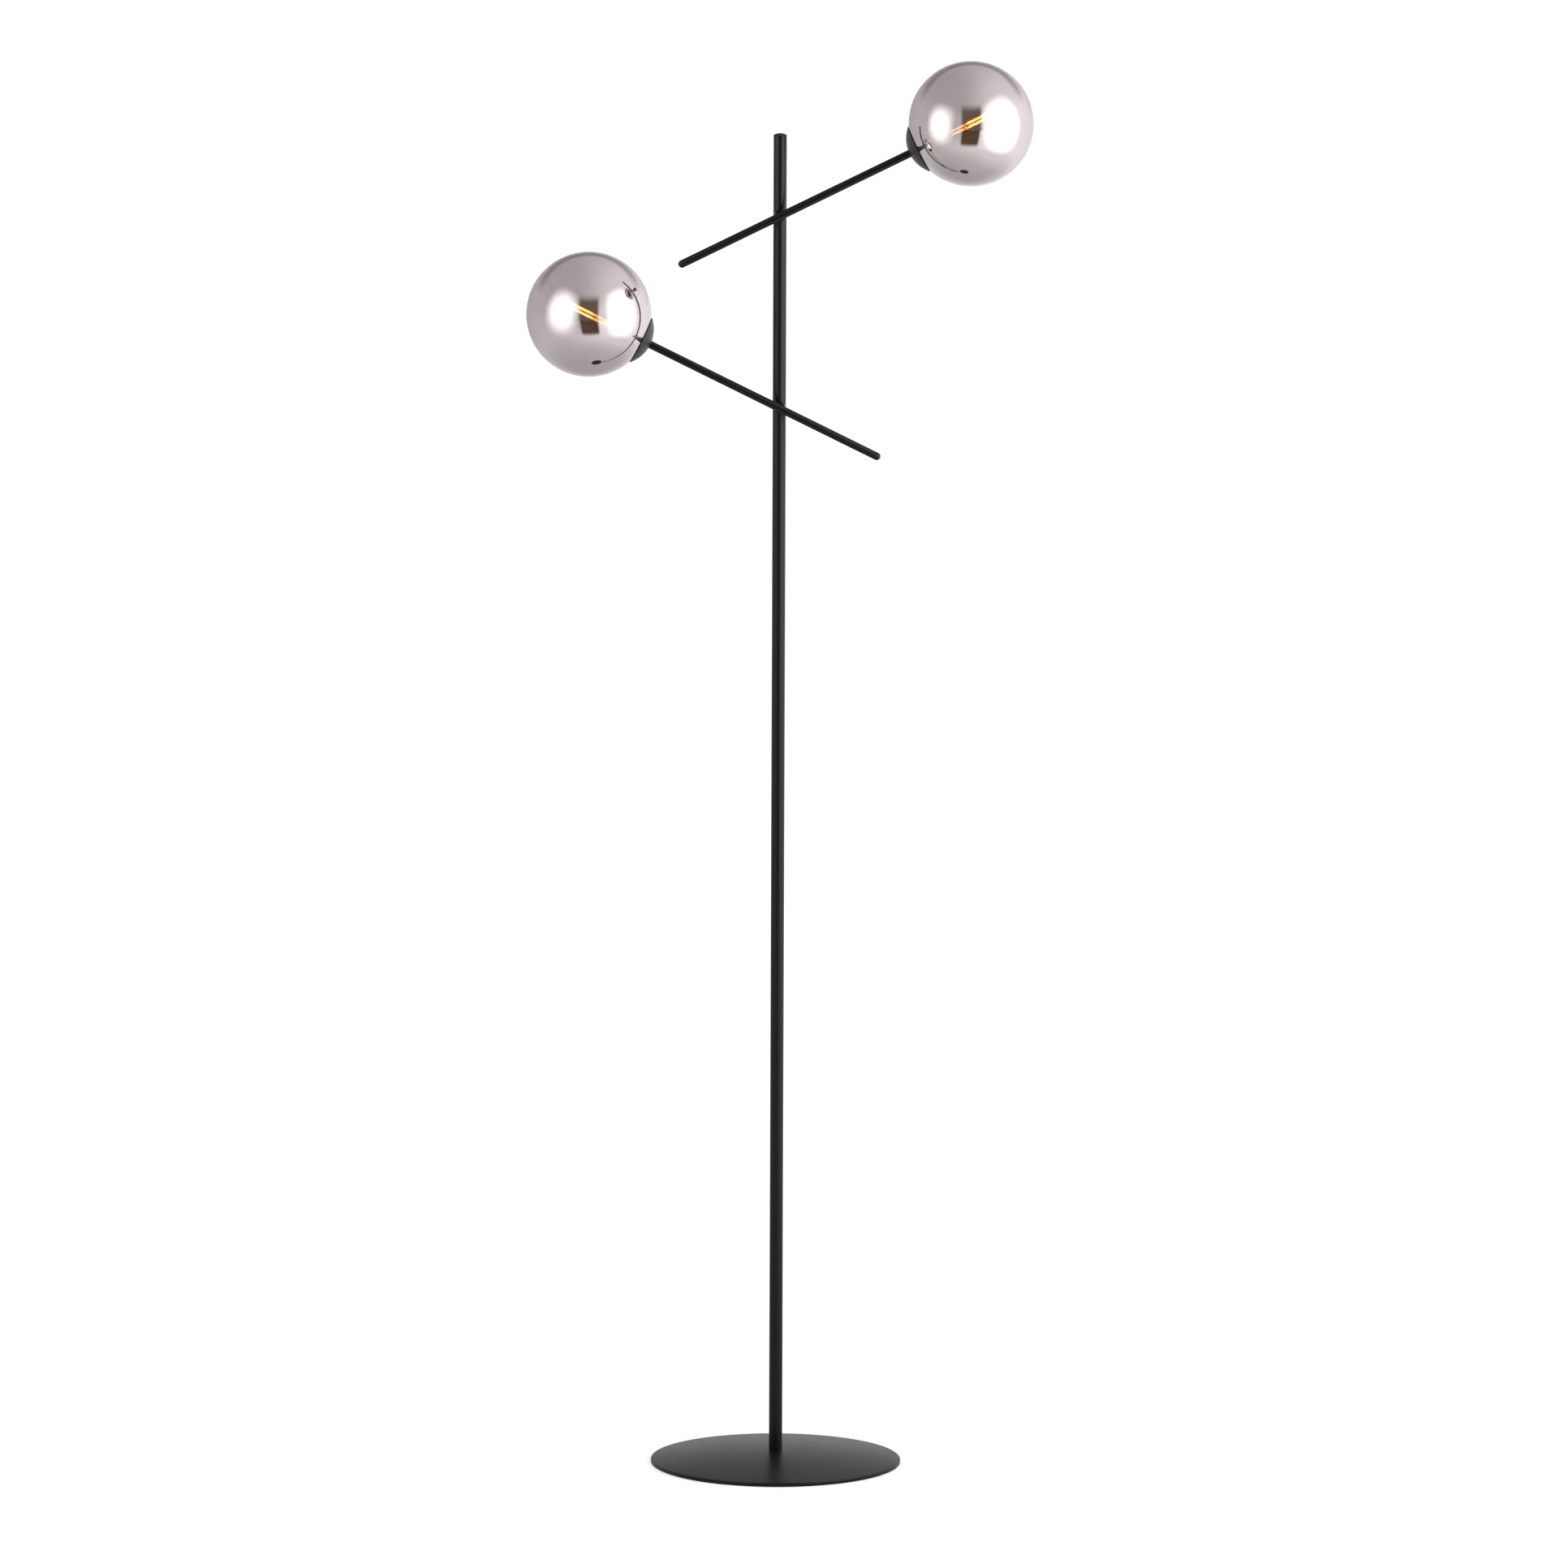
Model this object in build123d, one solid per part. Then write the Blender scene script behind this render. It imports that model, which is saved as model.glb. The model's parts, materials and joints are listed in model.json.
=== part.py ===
from build123d import *

import math
import os

# A floor lamp: a domed base, one slim pole and two swivel arms that cross in front of it,
# each ending in a shallow cup that carries a glass globe round a filament bulb.
# Millimetres, +Z up, the floor under the middle of the base at the origin.
# +X is to the right, and the arms are on the front of the pole, at -Y.

# Clearances
fit_gap = 0.05
seat_gap = 0.3
swivel_gap = 0.1

# Base
base_diameter = 300.0
base_rim_height = 5.0
base_dome_rise = 12.5
base_wall = 1.5
base_edge_radius = 1.2
base_floor_gap = 0.8
pad_thickness = 2.0
bolt_diameter = 10.0
bolt_head_diameter = 16.0
bolt_head_height = 4.0
bolt_socket_width = 6.0
bolt_socket_depth = 2.5
bolt_reach = 20.0
base_washer_diameter = 28.0
base_washer_thickness = 2.0
pocket_margin = 2.0
foot_plug_length = 24.0

# Pole
pole_diameter = 16.0
pole_wall = 1.2
pole_length = 1600.0
cap_edge = 0.8
cap_rise = 2.2
cap_spigot_length = 10.0
grommet_height = 60.0
grommet_hole = 8.0
grommet_bore = 5.6
grommet_collar_diameter = 11.0
grommet_collar_depth = 1.2
grommet_lip_width = 0.8
grommet_lip_depth = 1.2

# Swivels
upper_pivot_drop = 95.0
pivot_spacing = 232.5
boss_diameter = 14.0
boss_web = 2.8
boss_cradle_depth = 2.6
saddle_web = 1.2
friction_washer_thickness = 0.6
stud_diameter = 8.0
stud_bore = 5.5
stud_window = 5.0
spring_width = 2.4
spring_thickness = 0.6
spring_rise = 0.6
cap_nut_width = 13.0
cap_nut_height = 5.5
cap_nut_dome_diameter = 12.0
cap_nut_dome_rise = 5.0
cap_nut_thread_depth = 7.5

# Arms
arm_diameter = 9.5
arm_wall = 1.25
arm_tilt = 26.4
arm_reach = 173.0
arm_tail = 135.0
end_cap_spigot = 8.0
nipple_diameter = 8.0
nipple_bore = 5.5
nipple_in_arm = 12.0
nipple_in_holder = 7.0

# Cups
cup_diameter = 60.0
cup_depth = 12.0
cup_wall = 1.2
cup_seat_diameter = 14.0
cup_nut_width = 12.0
cup_nut_height = 4.0

# Lampholders
holder_thread_diameter = 28.2
holder_thread_length = 22.0
holder_neck_diameter = 25.0
holder_neck_length = 14.0
holder_floor = 12.0
holder_lead_hole = 4.0
shell_wall = 0.4
shell_length = 18.0
contact_diameter = 6.0
contact_thickness = 0.8

# Globes
globe_diameter = 150.0
globe_wall = 1.8
globe_mouth = 40.0
ring_flange_diameter = 45.0
ring_flange_thickness = 1.2
ring_sleeve_length = 9.0
gasket_width = 3.0

# Bulbs
bulb_diameter = 25.0
bulb_length = 115.0
bulb_wall = 0.7
bulb_cap_diameter = 13.8
bulb_cap_length = 22.0
bulb_tip_diameter = 5.0
bulb_tip_height = 3.0
bulb_neck_length = 3.0
bulb_shoulder_length = 13.0
stem_foot_diameter = 10.0
stem_tip_diameter = 3.0
stem_length = 26.0
filament_count = 4
filament_start = 58.5
filament_length = 42.0
filament_diameter = 1.8
filament_circle = 6.8
support_rod_diameter = 1.4
support_wire_diameter = 0.8

# Leads
lead_diameter = 2.2
lead_bend = 11.0
lead_corner = 6.0
lead_sway = 12.0
lead_straight = 8.0
splice_diameter = 10.0
splice_length = 30.0
splice_height = 80.0
splice_lead_spacing = 4.4

# Radii and heights that follow from the sizes above
base_radius = base_diameter / 2
base_apex = base_rim_height + base_dome_rise
pole_radius = pole_diameter / 2
pole_bore_radius = pole_radius - pole_wall
pole_foot = base_apex
pole_top = pole_foot + pole_length
upper_pivot_height = pole_top - upper_pivot_drop
lower_pivot_height = upper_pivot_height - pivot_spacing
bolt_head_low = pad_thickness + seat_gap
washer_low = bolt_head_low + bolt_head_height
pocket_top = washer_low + base_washer_thickness
arm_radius = arm_diameter / 2
stud_radius = stud_diameter / 2
stud_hole_radius = stud_radius + fit_gap
nipple_radius = nipple_diameter / 2
nipple_hole_radius = nipple_radius + fit_gap

# Distances from the pole axis along the swivel axis
saddle_face = pole_radius + saddle_web
turning_face = saddle_face + swivel_gap
boss_back = turning_face + friction_washer_thickness
arm_offset = boss_back + boss_web + arm_radius
stud_front = arm_offset - arm_radius - seat_gap
nut_back = turning_face + spring_rise + spring_thickness
stud_rear = nut_back + cap_nut_thread_depth - seat_gap

# Distances from the swivel axis along the arm
tail_end = arm_tail - arm_radius
cup_back = arm_reach
cup_floor = cup_back + cup_wall
cup_rim = cup_back + cup_depth
cup_inner_radius = cup_diameter / 2 - cup_wall
holder_back = cup_floor + cup_nut_height
holder_cavity = holder_back + holder_floor
holder_front = holder_back + holder_thread_length + holder_neck_length
globe_radius = globe_diameter / 2
globe_centre = cup_rim + seat_gap + math.sqrt(globe_radius ** 2 - cup_inner_radius ** 2)
mouth_radius = globe_mouth / 2
mouth_plane = globe_centre - math.sqrt(globe_radius ** 2 - mouth_radius ** 2)
bulb_tip = holder_cavity + contact_thickness
bulb_foot = bulb_tip + bulb_cap_length
bulb_end = bulb_tip + bulb_length


def turn_upright(outline):
    """Solid turned about Z from an outline of radius and height."""
    return revolve(Plane.XZ * make_face(outline), Axis.Z)


def turn_across(outline):
    """Solid turned about Y from an outline of radius and distance along Y."""
    return revolve(make_face(outline), Axis.Y)


def turn_along(outline):
    """Solid turned about X from an outline of distance along X and radius."""
    return revolve(make_face(outline), Axis.X)


def corners(first, second):
    """Closed rectangle between two opposite corners."""
    return Polyline(first, (second[0], first[1]), second, (first[0], second[1]), close=True)


def pole_cylinder(radius, low, high):
    """Solid cylinder about the pole axis."""
    return turn_upright(corners((0, low), (radius, high)))


def across_cylinder(radius, start, end):
    """Solid cylinder about the swivel axis."""
    return turn_across(corners((0, start), (radius, end)))


def along_cylinder(radius, start, end):
    """Solid cylinder about the arm axis."""
    return turn_along(corners((start, 0), (end, radius)))


def hexagon_prism(width, height):
    """Hexagonal prism on the XY plane, given its width across flats."""
    return extrude(RegularPolygon(width / 2, 6, major_radius=False), height)


def lead_along(path):
    """Round insulated lead swept along a path."""
    section = Plane(origin=path @ 0, z_dir=path % 0) * Circle(lead_diameter / 2)
    return sweep(section, path)


def dome_outline(radius, low, rim, apex):
    """Half outline of a disc with an upright rim and a shallow spherical top."""
    rise = apex - rim
    sphere = (radius ** 2 + rise ** 2) / (2 * rise)
    middle = apex - sphere + math.sqrt(sphere ** 2 - (radius / 2) ** 2)
    return [
        Line((0, low), (radius, low)),
        Line((radius, low), (radius, rim)),
        ThreePointArc((radius, rim), (radius / 2, middle), (0, apex)),
        Line((0, apex), (0, low)),
    ]


def bowl_outline(seat_radius, seat, rim_radius, rim):
    """Half outline of a dish with a flat seat and a round side, filled to its rim."""
    depth = rim - seat
    centre = (rim + seat) / 2 + (rim_radius ** 2 - seat_radius ** 2) / (2 * depth)
    sphere = math.hypot(rim_radius, centre - rim)
    middle_radius = (seat_radius + rim_radius) / 2
    middle = centre - math.sqrt(sphere ** 2 - middle_radius ** 2)
    return [
        Line((seat, 0), (seat, seat_radius)),
        ThreePointArc((seat, seat_radius), (middle, middle_radius), (rim, rim_radius)),
        Line((rim, rim_radius), (rim, 0)),
        Line((rim, 0), (seat, 0)),
    ]


# Base

def base_cover():
    """Pressed steel dome with a rounded rim, open underneath, with a hole for the bolt."""
    profile = make_face(dome_outline(base_radius, base_floor_gap, base_rim_height, base_apex))
    shoulder = profile.vertices().group_by(Axis.X)[-1].sort_by(Axis.Y)[-1]
    dome = revolve(Plane.XZ * fillet(shoulder, base_edge_radius), Axis.Z)
    inside = turn_upright(
        dome_outline(base_radius - base_wall, 0, base_rim_height - base_wall, base_apex - base_wall)
    )
    return dome - inside - pole_cylinder(bolt_diameter / 2 + seat_gap, 0, base_apex)


def base_weight():
    """Cast ballast that fills the dome, with a pocket for the bolt head and washer."""
    inset = base_wall + seat_gap
    slab = turn_upright(
        dome_outline(base_radius - inset, pad_thickness, base_rim_height - inset, base_apex - inset)
    )
    pocket = pole_cylinder(base_washer_diameter / 2 + pocket_margin, 0, pocket_top)
    return slab - pocket - pole_cylinder(bolt_diameter / 2 + seat_gap, 0, base_apex)


def base_pad():
    """Soft disc under the ballast that stands on the floor."""
    return pole_cylinder(base_radius - base_wall - seat_gap, 0, pad_thickness)


def base_washer():
    """Flat washer between the bolt head and the ballast."""
    inner = bolt_diameter / 2 + seat_gap
    return turn_upright(corners((inner, washer_low), (base_washer_diameter / 2, pocket_top)))


def base_bolt():
    """Low-headed socket bolt that pulls the pole down on the dome."""
    head = pole_cylinder(bolt_head_diameter / 2, bolt_head_low, washer_low)
    shank = pole_cylinder(bolt_diameter / 2, washer_low, pole_foot + bolt_reach)
    socket = Pos(0, 0, bolt_head_low) * hexagon_prism(bolt_socket_width, bolt_socket_depth)
    return head + shank - socket


def pole_foot_plug():
    """Tapped plug in the foot of the pole."""
    plug = pole_cylinder(pole_bore_radius - fit_gap, pole_foot, pole_foot + foot_plug_length)
    tapped = pole_cylinder(bolt_diameter / 2 + fit_gap, pole_foot, pole_foot + bolt_reach + seat_gap)
    return plug - tapped


# Pole

def pole_tube():
    """Pole with a cross hole at each swivel and a cord hole low on the back."""
    tube = turn_upright(corners((pole_bore_radius, pole_foot), (pole_radius, pole_top)))
    cross_hole = across_cylinder(stud_hole_radius, -pole_diameter, pole_diameter)
    cord_hole = across_cylinder(grommet_hole / 2, 0, pole_diameter)
    tube -= Pos(0, 0, upper_pivot_height) * cross_hole
    tube -= Pos(0, 0, lower_pivot_height) * cross_hole
    return tube - Pos(0, 0, grommet_height) * cord_hole


def pole_cap():
    """Low domed plug that closes the top of the pole."""
    spigot = pole_cylinder(pole_bore_radius - fit_gap, pole_top - cap_spigot_length, pole_top)
    edge = pole_top + cap_edge
    return spigot + turn_upright(dome_outline(pole_radius, pole_top, edge, edge + cap_rise))


def cord_grommet():
    """Soft bush in the cord hole, with a collar outside the pole and a lip inside it."""
    outside = pole_radius + grommet_collar_depth
    inside = pole_bore_radius - grommet_lip_depth - grommet_lip_width
    height = grommet_collar_diameter
    collar = across_cylinder(grommet_collar_diameter / 2, 0, outside)
    collar -= pole_cylinder(pole_radius + fit_gap, -height, height)
    lip = across_cylinder(grommet_hole / 2 + grommet_lip_width, inside, pole_radius)
    lip &= pole_cylinder(pole_bore_radius - fit_gap, -height, height)
    neck = across_cylinder(grommet_hole / 2 - fit_gap, inside, outside)
    bush = collar + lip + neck - across_cylinder(grommet_bore / 2, 0, 2 * outside)
    return Pos(0, 0, grommet_height) * bush


def wire_splice():
    """Insulated splice where both leads meet the supply."""
    return pole_cylinder(splice_diameter / 2, splice_height, splice_height + splice_length)


def pole_lead(side, pivot_height):
    """Lead up one side of the pole bore, from the splice to the window of a stud."""
    wall_side = side * (pole_bore_radius - seat_gap - lead_diameter / 2)
    splice_side = side * splice_lead_spacing / 2
    low = splice_height + splice_length
    high = pivot_height - stud_radius - seat_gap
    route = FilletPolyline(
        (splice_side, low),
        (splice_side, low + lead_straight),
        (wall_side, low + lead_straight + lead_sway),
        (wall_side, high - lead_straight - lead_sway),
        (0, high - lead_straight),
        (0, high),
        radius=lead_bend,
    )
    return lead_along(Plane.XZ * route)


# Swivels

def saddle(side):
    """Washer with a hollow back that beds on the pole and a flat face for the swivel."""
    block = across_cylinder(boss_diameter / 2, 0, side * saddle_face)
    block -= pole_cylinder(pole_radius + fit_gap, -boss_diameter, boss_diameter)
    return block - across_cylinder(stud_hole_radius, 0, side * 2 * saddle_face)


def friction_washer():
    """Thin washer that the boss turns on."""
    return turn_across(corners((stud_hole_radius, -boss_back), (boss_diameter / 2, -turning_face)))


def arm_boss():
    """Round boss with a cradle for the arm across its front."""
    front = boss_back + boss_web + boss_cradle_depth
    block = across_cylinder(boss_diameter / 2, -front, -boss_back)
    block -= Pos(0, -arm_offset, 0) * along_cylinder(arm_radius + fit_gap, -arm_tail, arm_tail)
    return block - across_cylinder(stud_hole_radius, -arm_offset, 0)


def pivot_stud():
    """Hollow stud through the pole, with a window underneath for the lead."""
    stud = turn_across(corners((stud_bore / 2, -stud_front), (stud_radius, stud_rear)))
    return stud - turn_upright(corners((0, -stud_diameter), (stud_window / 2, 0)))


def disc_spring():
    """Conical spring washer that keeps the swivel stiff."""
    inner = stud_hole_radius
    outer = inner + spring_width
    return turn_across(
        Polyline(
            (inner, turning_face + spring_rise),
            (outer, turning_face),
            (outer, turning_face + spring_thickness),
            (inner, nut_back),
            close=True,
        )
    )


def cap_nut():
    """Domed nut on the back end of the stud."""
    hexagon = Rot(-90, 0, 0) * hexagon_prism(cap_nut_width, cap_nut_height)
    hexagon = Pos(0, nut_back, 0) * hexagon
    shoulder = nut_back + cap_nut_height
    profile = dome_outline(cap_nut_dome_diameter / 2, nut_back, shoulder, shoulder + cap_nut_dome_rise)
    return hexagon + turn_across(profile) - across_cylinder(stud_hole_radius, 0, nut_back + cap_nut_thread_depth)


# Arms

def arm_tube():
    """Arm with a lead hole at the boss and a tapped end for the nipple."""
    tube = turn_along(corners((-tail_end, arm_radius - arm_wall), (cup_back, arm_radius)))
    tube -= along_cylinder(nipple_hole_radius, cup_back - nipple_in_arm - seat_gap, cup_back)
    return tube - across_cylinder(stud_bore / 2, 0, arm_diameter)


def arm_end_cap():
    """Round-nosed plug in the tail of the arm."""
    nose = Pos(-tail_end, 0, 0) * Sphere(arm_radius) & along_cylinder(arm_radius, -arm_tail, -tail_end)
    return nose + along_cylinder(arm_radius - arm_wall - fit_gap, -tail_end, end_cap_spigot - tail_end)


def arm_lead():
    """Lead from the stud's window along the arm to the lampholder."""
    route = FilletPolyline(
        (0, arm_offset + stud_window / 2),
        (0, 0),
        (holder_cavity - seat_gap, 0),
        radius=lead_corner,
    )
    return lead_along(route)


def head_nipple():
    """Hollow threaded nipple that joins arm, cup and lampholder."""
    start = cup_back - nipple_in_arm
    end = holder_back + nipple_in_holder
    return turn_along(corners((start, nipple_bore / 2), (end, nipple_radius)))


# Heads

def cup_inside():
    """The space in the cup, filled to its rim."""
    return turn_along(bowl_outline(cup_seat_diameter / 2, cup_floor, cup_inner_radius, cup_rim))


def cup():
    """Shallow spun dish at the end of the arm."""
    dish = turn_along(bowl_outline(cup_seat_diameter / 2, cup_back, cup_diameter / 2, cup_rim))
    return dish - cup_inside() - along_cylinder(nipple_hole_radius, cup_back, cup_floor)


def cup_nut():
    """Hexagon nut that clamps the cup to the arm."""
    nut = Pos(cup_floor, 0, 0) * Rot(0, 90, 0) * hexagon_prism(cup_nut_width, cup_nut_height)
    return nut - along_cylinder(nipple_hole_radius, cup_floor, holder_back)


def lampholder():
    """Moulded holder: a threaded body for the globe ring, a neck and a cavity for the screw shell."""
    thread_end = holder_back + holder_thread_length
    body = along_cylinder(holder_thread_diameter / 2, holder_back, thread_end)
    body += along_cylinder(holder_neck_diameter / 2, thread_end, holder_front)
    cavity = bulb_cap_diameter / 2 + 2 * fit_gap + shell_wall
    body -= along_cylinder(cavity, holder_cavity, holder_front)
    body -= along_cylinder(nipple_hole_radius, holder_back, holder_back + nipple_in_holder)
    return body - along_cylinder(holder_lead_hole / 2, holder_back, holder_cavity)


def lampholder_contacts():
    """Screw shell and centre contact, two separate pieces of brass."""
    inner = bulb_cap_diameter / 2 + fit_gap
    shell = turn_along(corners((holder_cavity, inner), (holder_cavity + shell_length, inner + shell_wall)))
    contact = along_cylinder(contact_diameter / 2, holder_cavity, bulb_tip)
    return Compound(children=[shell, contact])


def globe_ring():
    """Ring cemented in the mouth of the globe that screws on the lampholder."""
    inner = holder_thread_diameter / 2 + fit_gap
    front = mouth_plane - seat_gap
    flange = turn_along(corners((front - ring_flange_thickness, inner), (front, ring_flange_diameter / 2)))
    sleeve = turn_along(corners((front, inner), (front + ring_sleeve_length, mouth_radius - seat_gap)))
    return flange + sleeve


def globe_gasket():
    """Soft ring in the narrow space between the cup and the globe."""
    outer = cup_inner_radius - gasket_width / 2
    band = turn_along(corners((cup_floor, outer - gasket_width), (cup_rim, outer)))
    band -= Pos(globe_centre, 0, 0) * Sphere(globe_radius + fit_gap)
    return band & Pos(fit_gap, 0, 0) * cup_inside()


def globe():
    """Blown glass globe with an open mouth."""
    shell = Sphere(globe_radius) - Sphere(globe_radius - globe_wall)
    return Pos(globe_centre, 0, 0) * shell - along_cylinder(mouth_radius, 0, globe_centre)


def bulb_outline(wall):
    """Half outline of the bulb glass, drawn in from its outside by a wall."""
    neck = bulb_cap_diameter / 2 - wall
    radius = bulb_diameter / 2 - wall
    shoulder = bulb_foot + bulb_neck_length
    barrel = shoulder + bulb_shoulder_length
    crown = bulb_end - bulb_diameter / 2
    return [
        Line((bulb_foot, 0), (bulb_foot, neck)),
        Line((bulb_foot, neck), (shoulder, neck)),
        Line((shoulder, neck), (barrel, radius)),
        Line((barrel, radius), (crown, radius)),
        ThreePointArc(
            (crown, radius),
            (crown + radius * math.sqrt(0.5), radius * math.sqrt(0.5)),
            (crown + radius, 0),
        ),
        Line((crown + radius, 0), (bulb_foot, 0)),
    ]


def bulb_glass():
    """Thin glass tube of the bulb with a round end."""
    return turn_along(bulb_outline(0)) - turn_along(bulb_outline(bulb_wall))


def bulb_cap():
    """Screw cap of the bulb with its insulating cone and tip."""
    radius = bulb_cap_diameter / 2
    return turn_along(
        Polyline(
            (bulb_tip, 0),
            (bulb_tip, bulb_tip_diameter / 2),
            (bulb_tip + bulb_tip_height, radius),
            (bulb_foot, radius),
            (bulb_foot, 0),
            close=True,
        )
    )


def bulb_filaments():
    """Glass stem and rod with straight filaments round it, held by short wires."""
    low = bulb_tip + filament_start
    high = low + filament_length
    stem_end = bulb_foot + stem_length
    cluster = turn_along(
        Polyline(
            (bulb_foot, 0),
            (bulb_foot, stem_foot_diameter / 2),
            (stem_end, stem_tip_diameter / 2),
            (stem_end, 0),
            close=True,
        )
    )
    rod_radius = support_rod_diameter / 2
    cluster += along_cylinder(rod_radius, stem_end - stem_length / 2, high)
    filament = Pos(0, filament_circle / 2, 0) * along_cylinder(filament_diameter / 2, low, high)
    spoke = across_cylinder(support_wire_diameter / 2, rod_radius / 2, filament_circle / 2)
    for index in range(filament_count):
        turn = Rot((index + 0.5) * 360 / filament_count, 0, 0)
        cluster += turn * filament
        cluster += turn * Pos(low + support_wire_diameter, 0, 0) * spoke
        cluster += turn * Pos(high - support_wire_diameter, 0, 0) * spoke
    return cluster


# Assembly

stand_pieces = {
    "base_cover": base_cover(),
    "base_weight": base_weight(),
    "base_pad": base_pad(),
    "base_washer": base_washer(),
    "base_bolt": base_bolt(),
    "pole_foot_plug": pole_foot_plug(),
    "pole_tube": pole_tube(),
    "pole_cap": pole_cap(),
    "cord_grommet": cord_grommet(),
    "wire_splice": wire_splice(),
    "upper_pole_lead": pole_lead(1, upper_pivot_height),
    "lower_pole_lead": pole_lead(-1, lower_pivot_height),
}

# Pieces about the swivel axis, level with it
swivel_pieces = {
    "front_saddle": saddle(-1),
    "rear_saddle": saddle(1),
    "friction_washer": friction_washer(),
    "pivot_stud": pivot_stud(),
    "disc_spring": disc_spring(),
    "cap_nut": cap_nut(),
}

# Pieces about the arm axis, drawn with the arm along X
arm_pieces = {
    "arm_tube": arm_tube(),
    "arm_end_cap": arm_end_cap(),
    "arm_lead": arm_lead(),
    "head_nipple": head_nipple(),
    "cup": cup(),
    "cup_nut": cup_nut(),
    "lampholder": lampholder(),
    "lampholder_contacts": lampholder_contacts(),
    "globe_ring": globe_ring(),
    "globe_gasket": globe_gasket(),
    "globe": globe(),
    "bulb_glass": bulb_glass(),
    "bulb_cap": bulb_cap(),
    "bulb_filaments": bulb_filaments(),
}

# The upper arm rises to the right and the lower arm to the left
arm_places = {
    "upper": (upper_pivot_height, -arm_tilt),
    "lower": (lower_pivot_height, 180 + arm_tilt),
}

pieces = dict(stand_pieces)
for arm, (pivot_height, turn) in arm_places.items():
    pivot = Pos(0, 0, pivot_height)
    tilted = pivot * Rot(0, turn, 0)
    for name, piece in swivel_pieces.items():
        pieces[f"{arm}_{name}"] = pivot * piece
    pieces[f"{arm}_arm_boss"] = tilted * arm_boss()
    for name, piece in arm_pieces.items():
        pieces[f"{arm}_{name}"] = tilted * Pos(0, -arm_offset, 0) * piece

os.makedirs("parts", exist_ok=True)
for name, piece in pieces.items():
    export_step(piece, f"parts/{name}.step")
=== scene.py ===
"""Floor lamp with two swivel arms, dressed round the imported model's fixed frame."""
import json
import logging
import math
from dataclasses import dataclass, field
from enum import Enum
from typing import ClassVar, Optional, Sequence

import bpy
from mathutils import Matrix, Vector


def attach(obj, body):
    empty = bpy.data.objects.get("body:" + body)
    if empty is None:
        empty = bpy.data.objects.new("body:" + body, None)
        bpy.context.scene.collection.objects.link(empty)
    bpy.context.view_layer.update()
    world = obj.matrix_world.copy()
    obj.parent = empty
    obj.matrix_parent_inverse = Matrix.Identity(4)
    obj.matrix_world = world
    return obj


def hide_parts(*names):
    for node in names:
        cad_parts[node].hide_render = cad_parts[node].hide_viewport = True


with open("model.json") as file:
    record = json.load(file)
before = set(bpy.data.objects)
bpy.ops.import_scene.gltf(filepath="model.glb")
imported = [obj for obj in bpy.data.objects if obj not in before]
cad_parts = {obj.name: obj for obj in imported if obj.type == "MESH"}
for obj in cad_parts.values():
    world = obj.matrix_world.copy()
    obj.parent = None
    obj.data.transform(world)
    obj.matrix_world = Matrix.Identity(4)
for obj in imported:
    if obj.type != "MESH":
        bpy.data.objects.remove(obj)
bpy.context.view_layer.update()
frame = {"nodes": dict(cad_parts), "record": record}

MM = 0.001
FULL_TURN = 2.0 * math.pi
LOG = logging.getLogger("floor_lamp")

Thing = bpy.types.Object
Material = bpy.types.Material
Node = bpy.types.Node
Socket = bpy.types.NodeSocket
Point = tuple[float, float]
Corner = tuple[float, ...]
Span = tuple[float, float]
Place = tuple[float, float, float]
Colour = tuple[float, float, float]

# Sizes that several pieces share, in millimetres

CLEARANCE = 0.05
POLE_RADIUS = 8.0
STUD_HOLE = 4.05
NIPPLE_HOLE = 4.05
HOLDER_THREAD = 14.1
HOLE_MARGIN = 12.0
ARM_RADIUS = 4.75
ARM_REACH = 173.0
ARM_ASIDE: Place = (0.0, -17.45, 0.0)

# Segments round turned pieces, and how their corners are rounded

POLE_SEGMENTS = 128
PIECE_SEGMENTS = 96
HOLE_SEGMENTS = 48
WIRE_SEGMENTS = 24
CORNER_STEPS = 5
CORNER_SHARE = 0.48
SHARP = (0.0, 0.0)

WHITE = (1.0, 1.0, 1.0)
STAND = "stand"


# Outlines

def arc(centre: Point, radius: float, start: float, end: float, steps: int) -> list[Corner]:
    """Points on a round stretch of an outline.

    Args:
        centre: centre of the arc, along the axis and out from it.
        radius: radius of the arc.
        start: first angle in degrees, from the axis towards the outside.
        end: last angle in degrees.
        steps: number of straight runs.

    Returns:
        The points from start to end.
    """
    points = []
    for step in range(steps + 1):
        angle = math.radians(start + (end - start) * step / steps)
        points.append((centre[0] + radius * math.cos(angle), centre[1] + radius * math.sin(angle)))
    return points


def crown(foot: float, radius: float, rise: float, steps: int) -> list[Corner]:
    """Points over a round crown, from its edge to its top.

    Args:
        foot: where the crown's edge is along the axis.
        radius: radius at the edge.
        rise: height of the top over the edge.
        steps: number of straight runs.

    Returns:
        The points from the edge to the axis.
    """
    sphere = (radius ** 2 + rise ** 2) / (2.0 * rise)
    lean = math.degrees(math.acos((sphere - rise) / sphere))
    return arc((foot + rise - sphere, 0.0), sphere, lean, 0.0, steps)


def band(
    start: float, end: float, hole: float, rim: float, first: Span = SHARP, last: Span = SHARP
) -> list[Corner]:
    """Corners of a ring with a square section.

    Args:
        start: where the ring starts along its axis.
        end: where it ends.
        hole: radius of its hole.
        rim: radius of its rim.
        first: rounding at the start, of the hole's edge and of the rim's.
        last: rounding at the end, of the hole's edge and of the rim's.

    Returns:
        The four corners, from the hole's edge at the start to the one at the end.
    """
    return [(start, hole, first[0]), (start, rim, first[1]), (end, rim, last[1]), (end, hole, last[0])]


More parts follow.
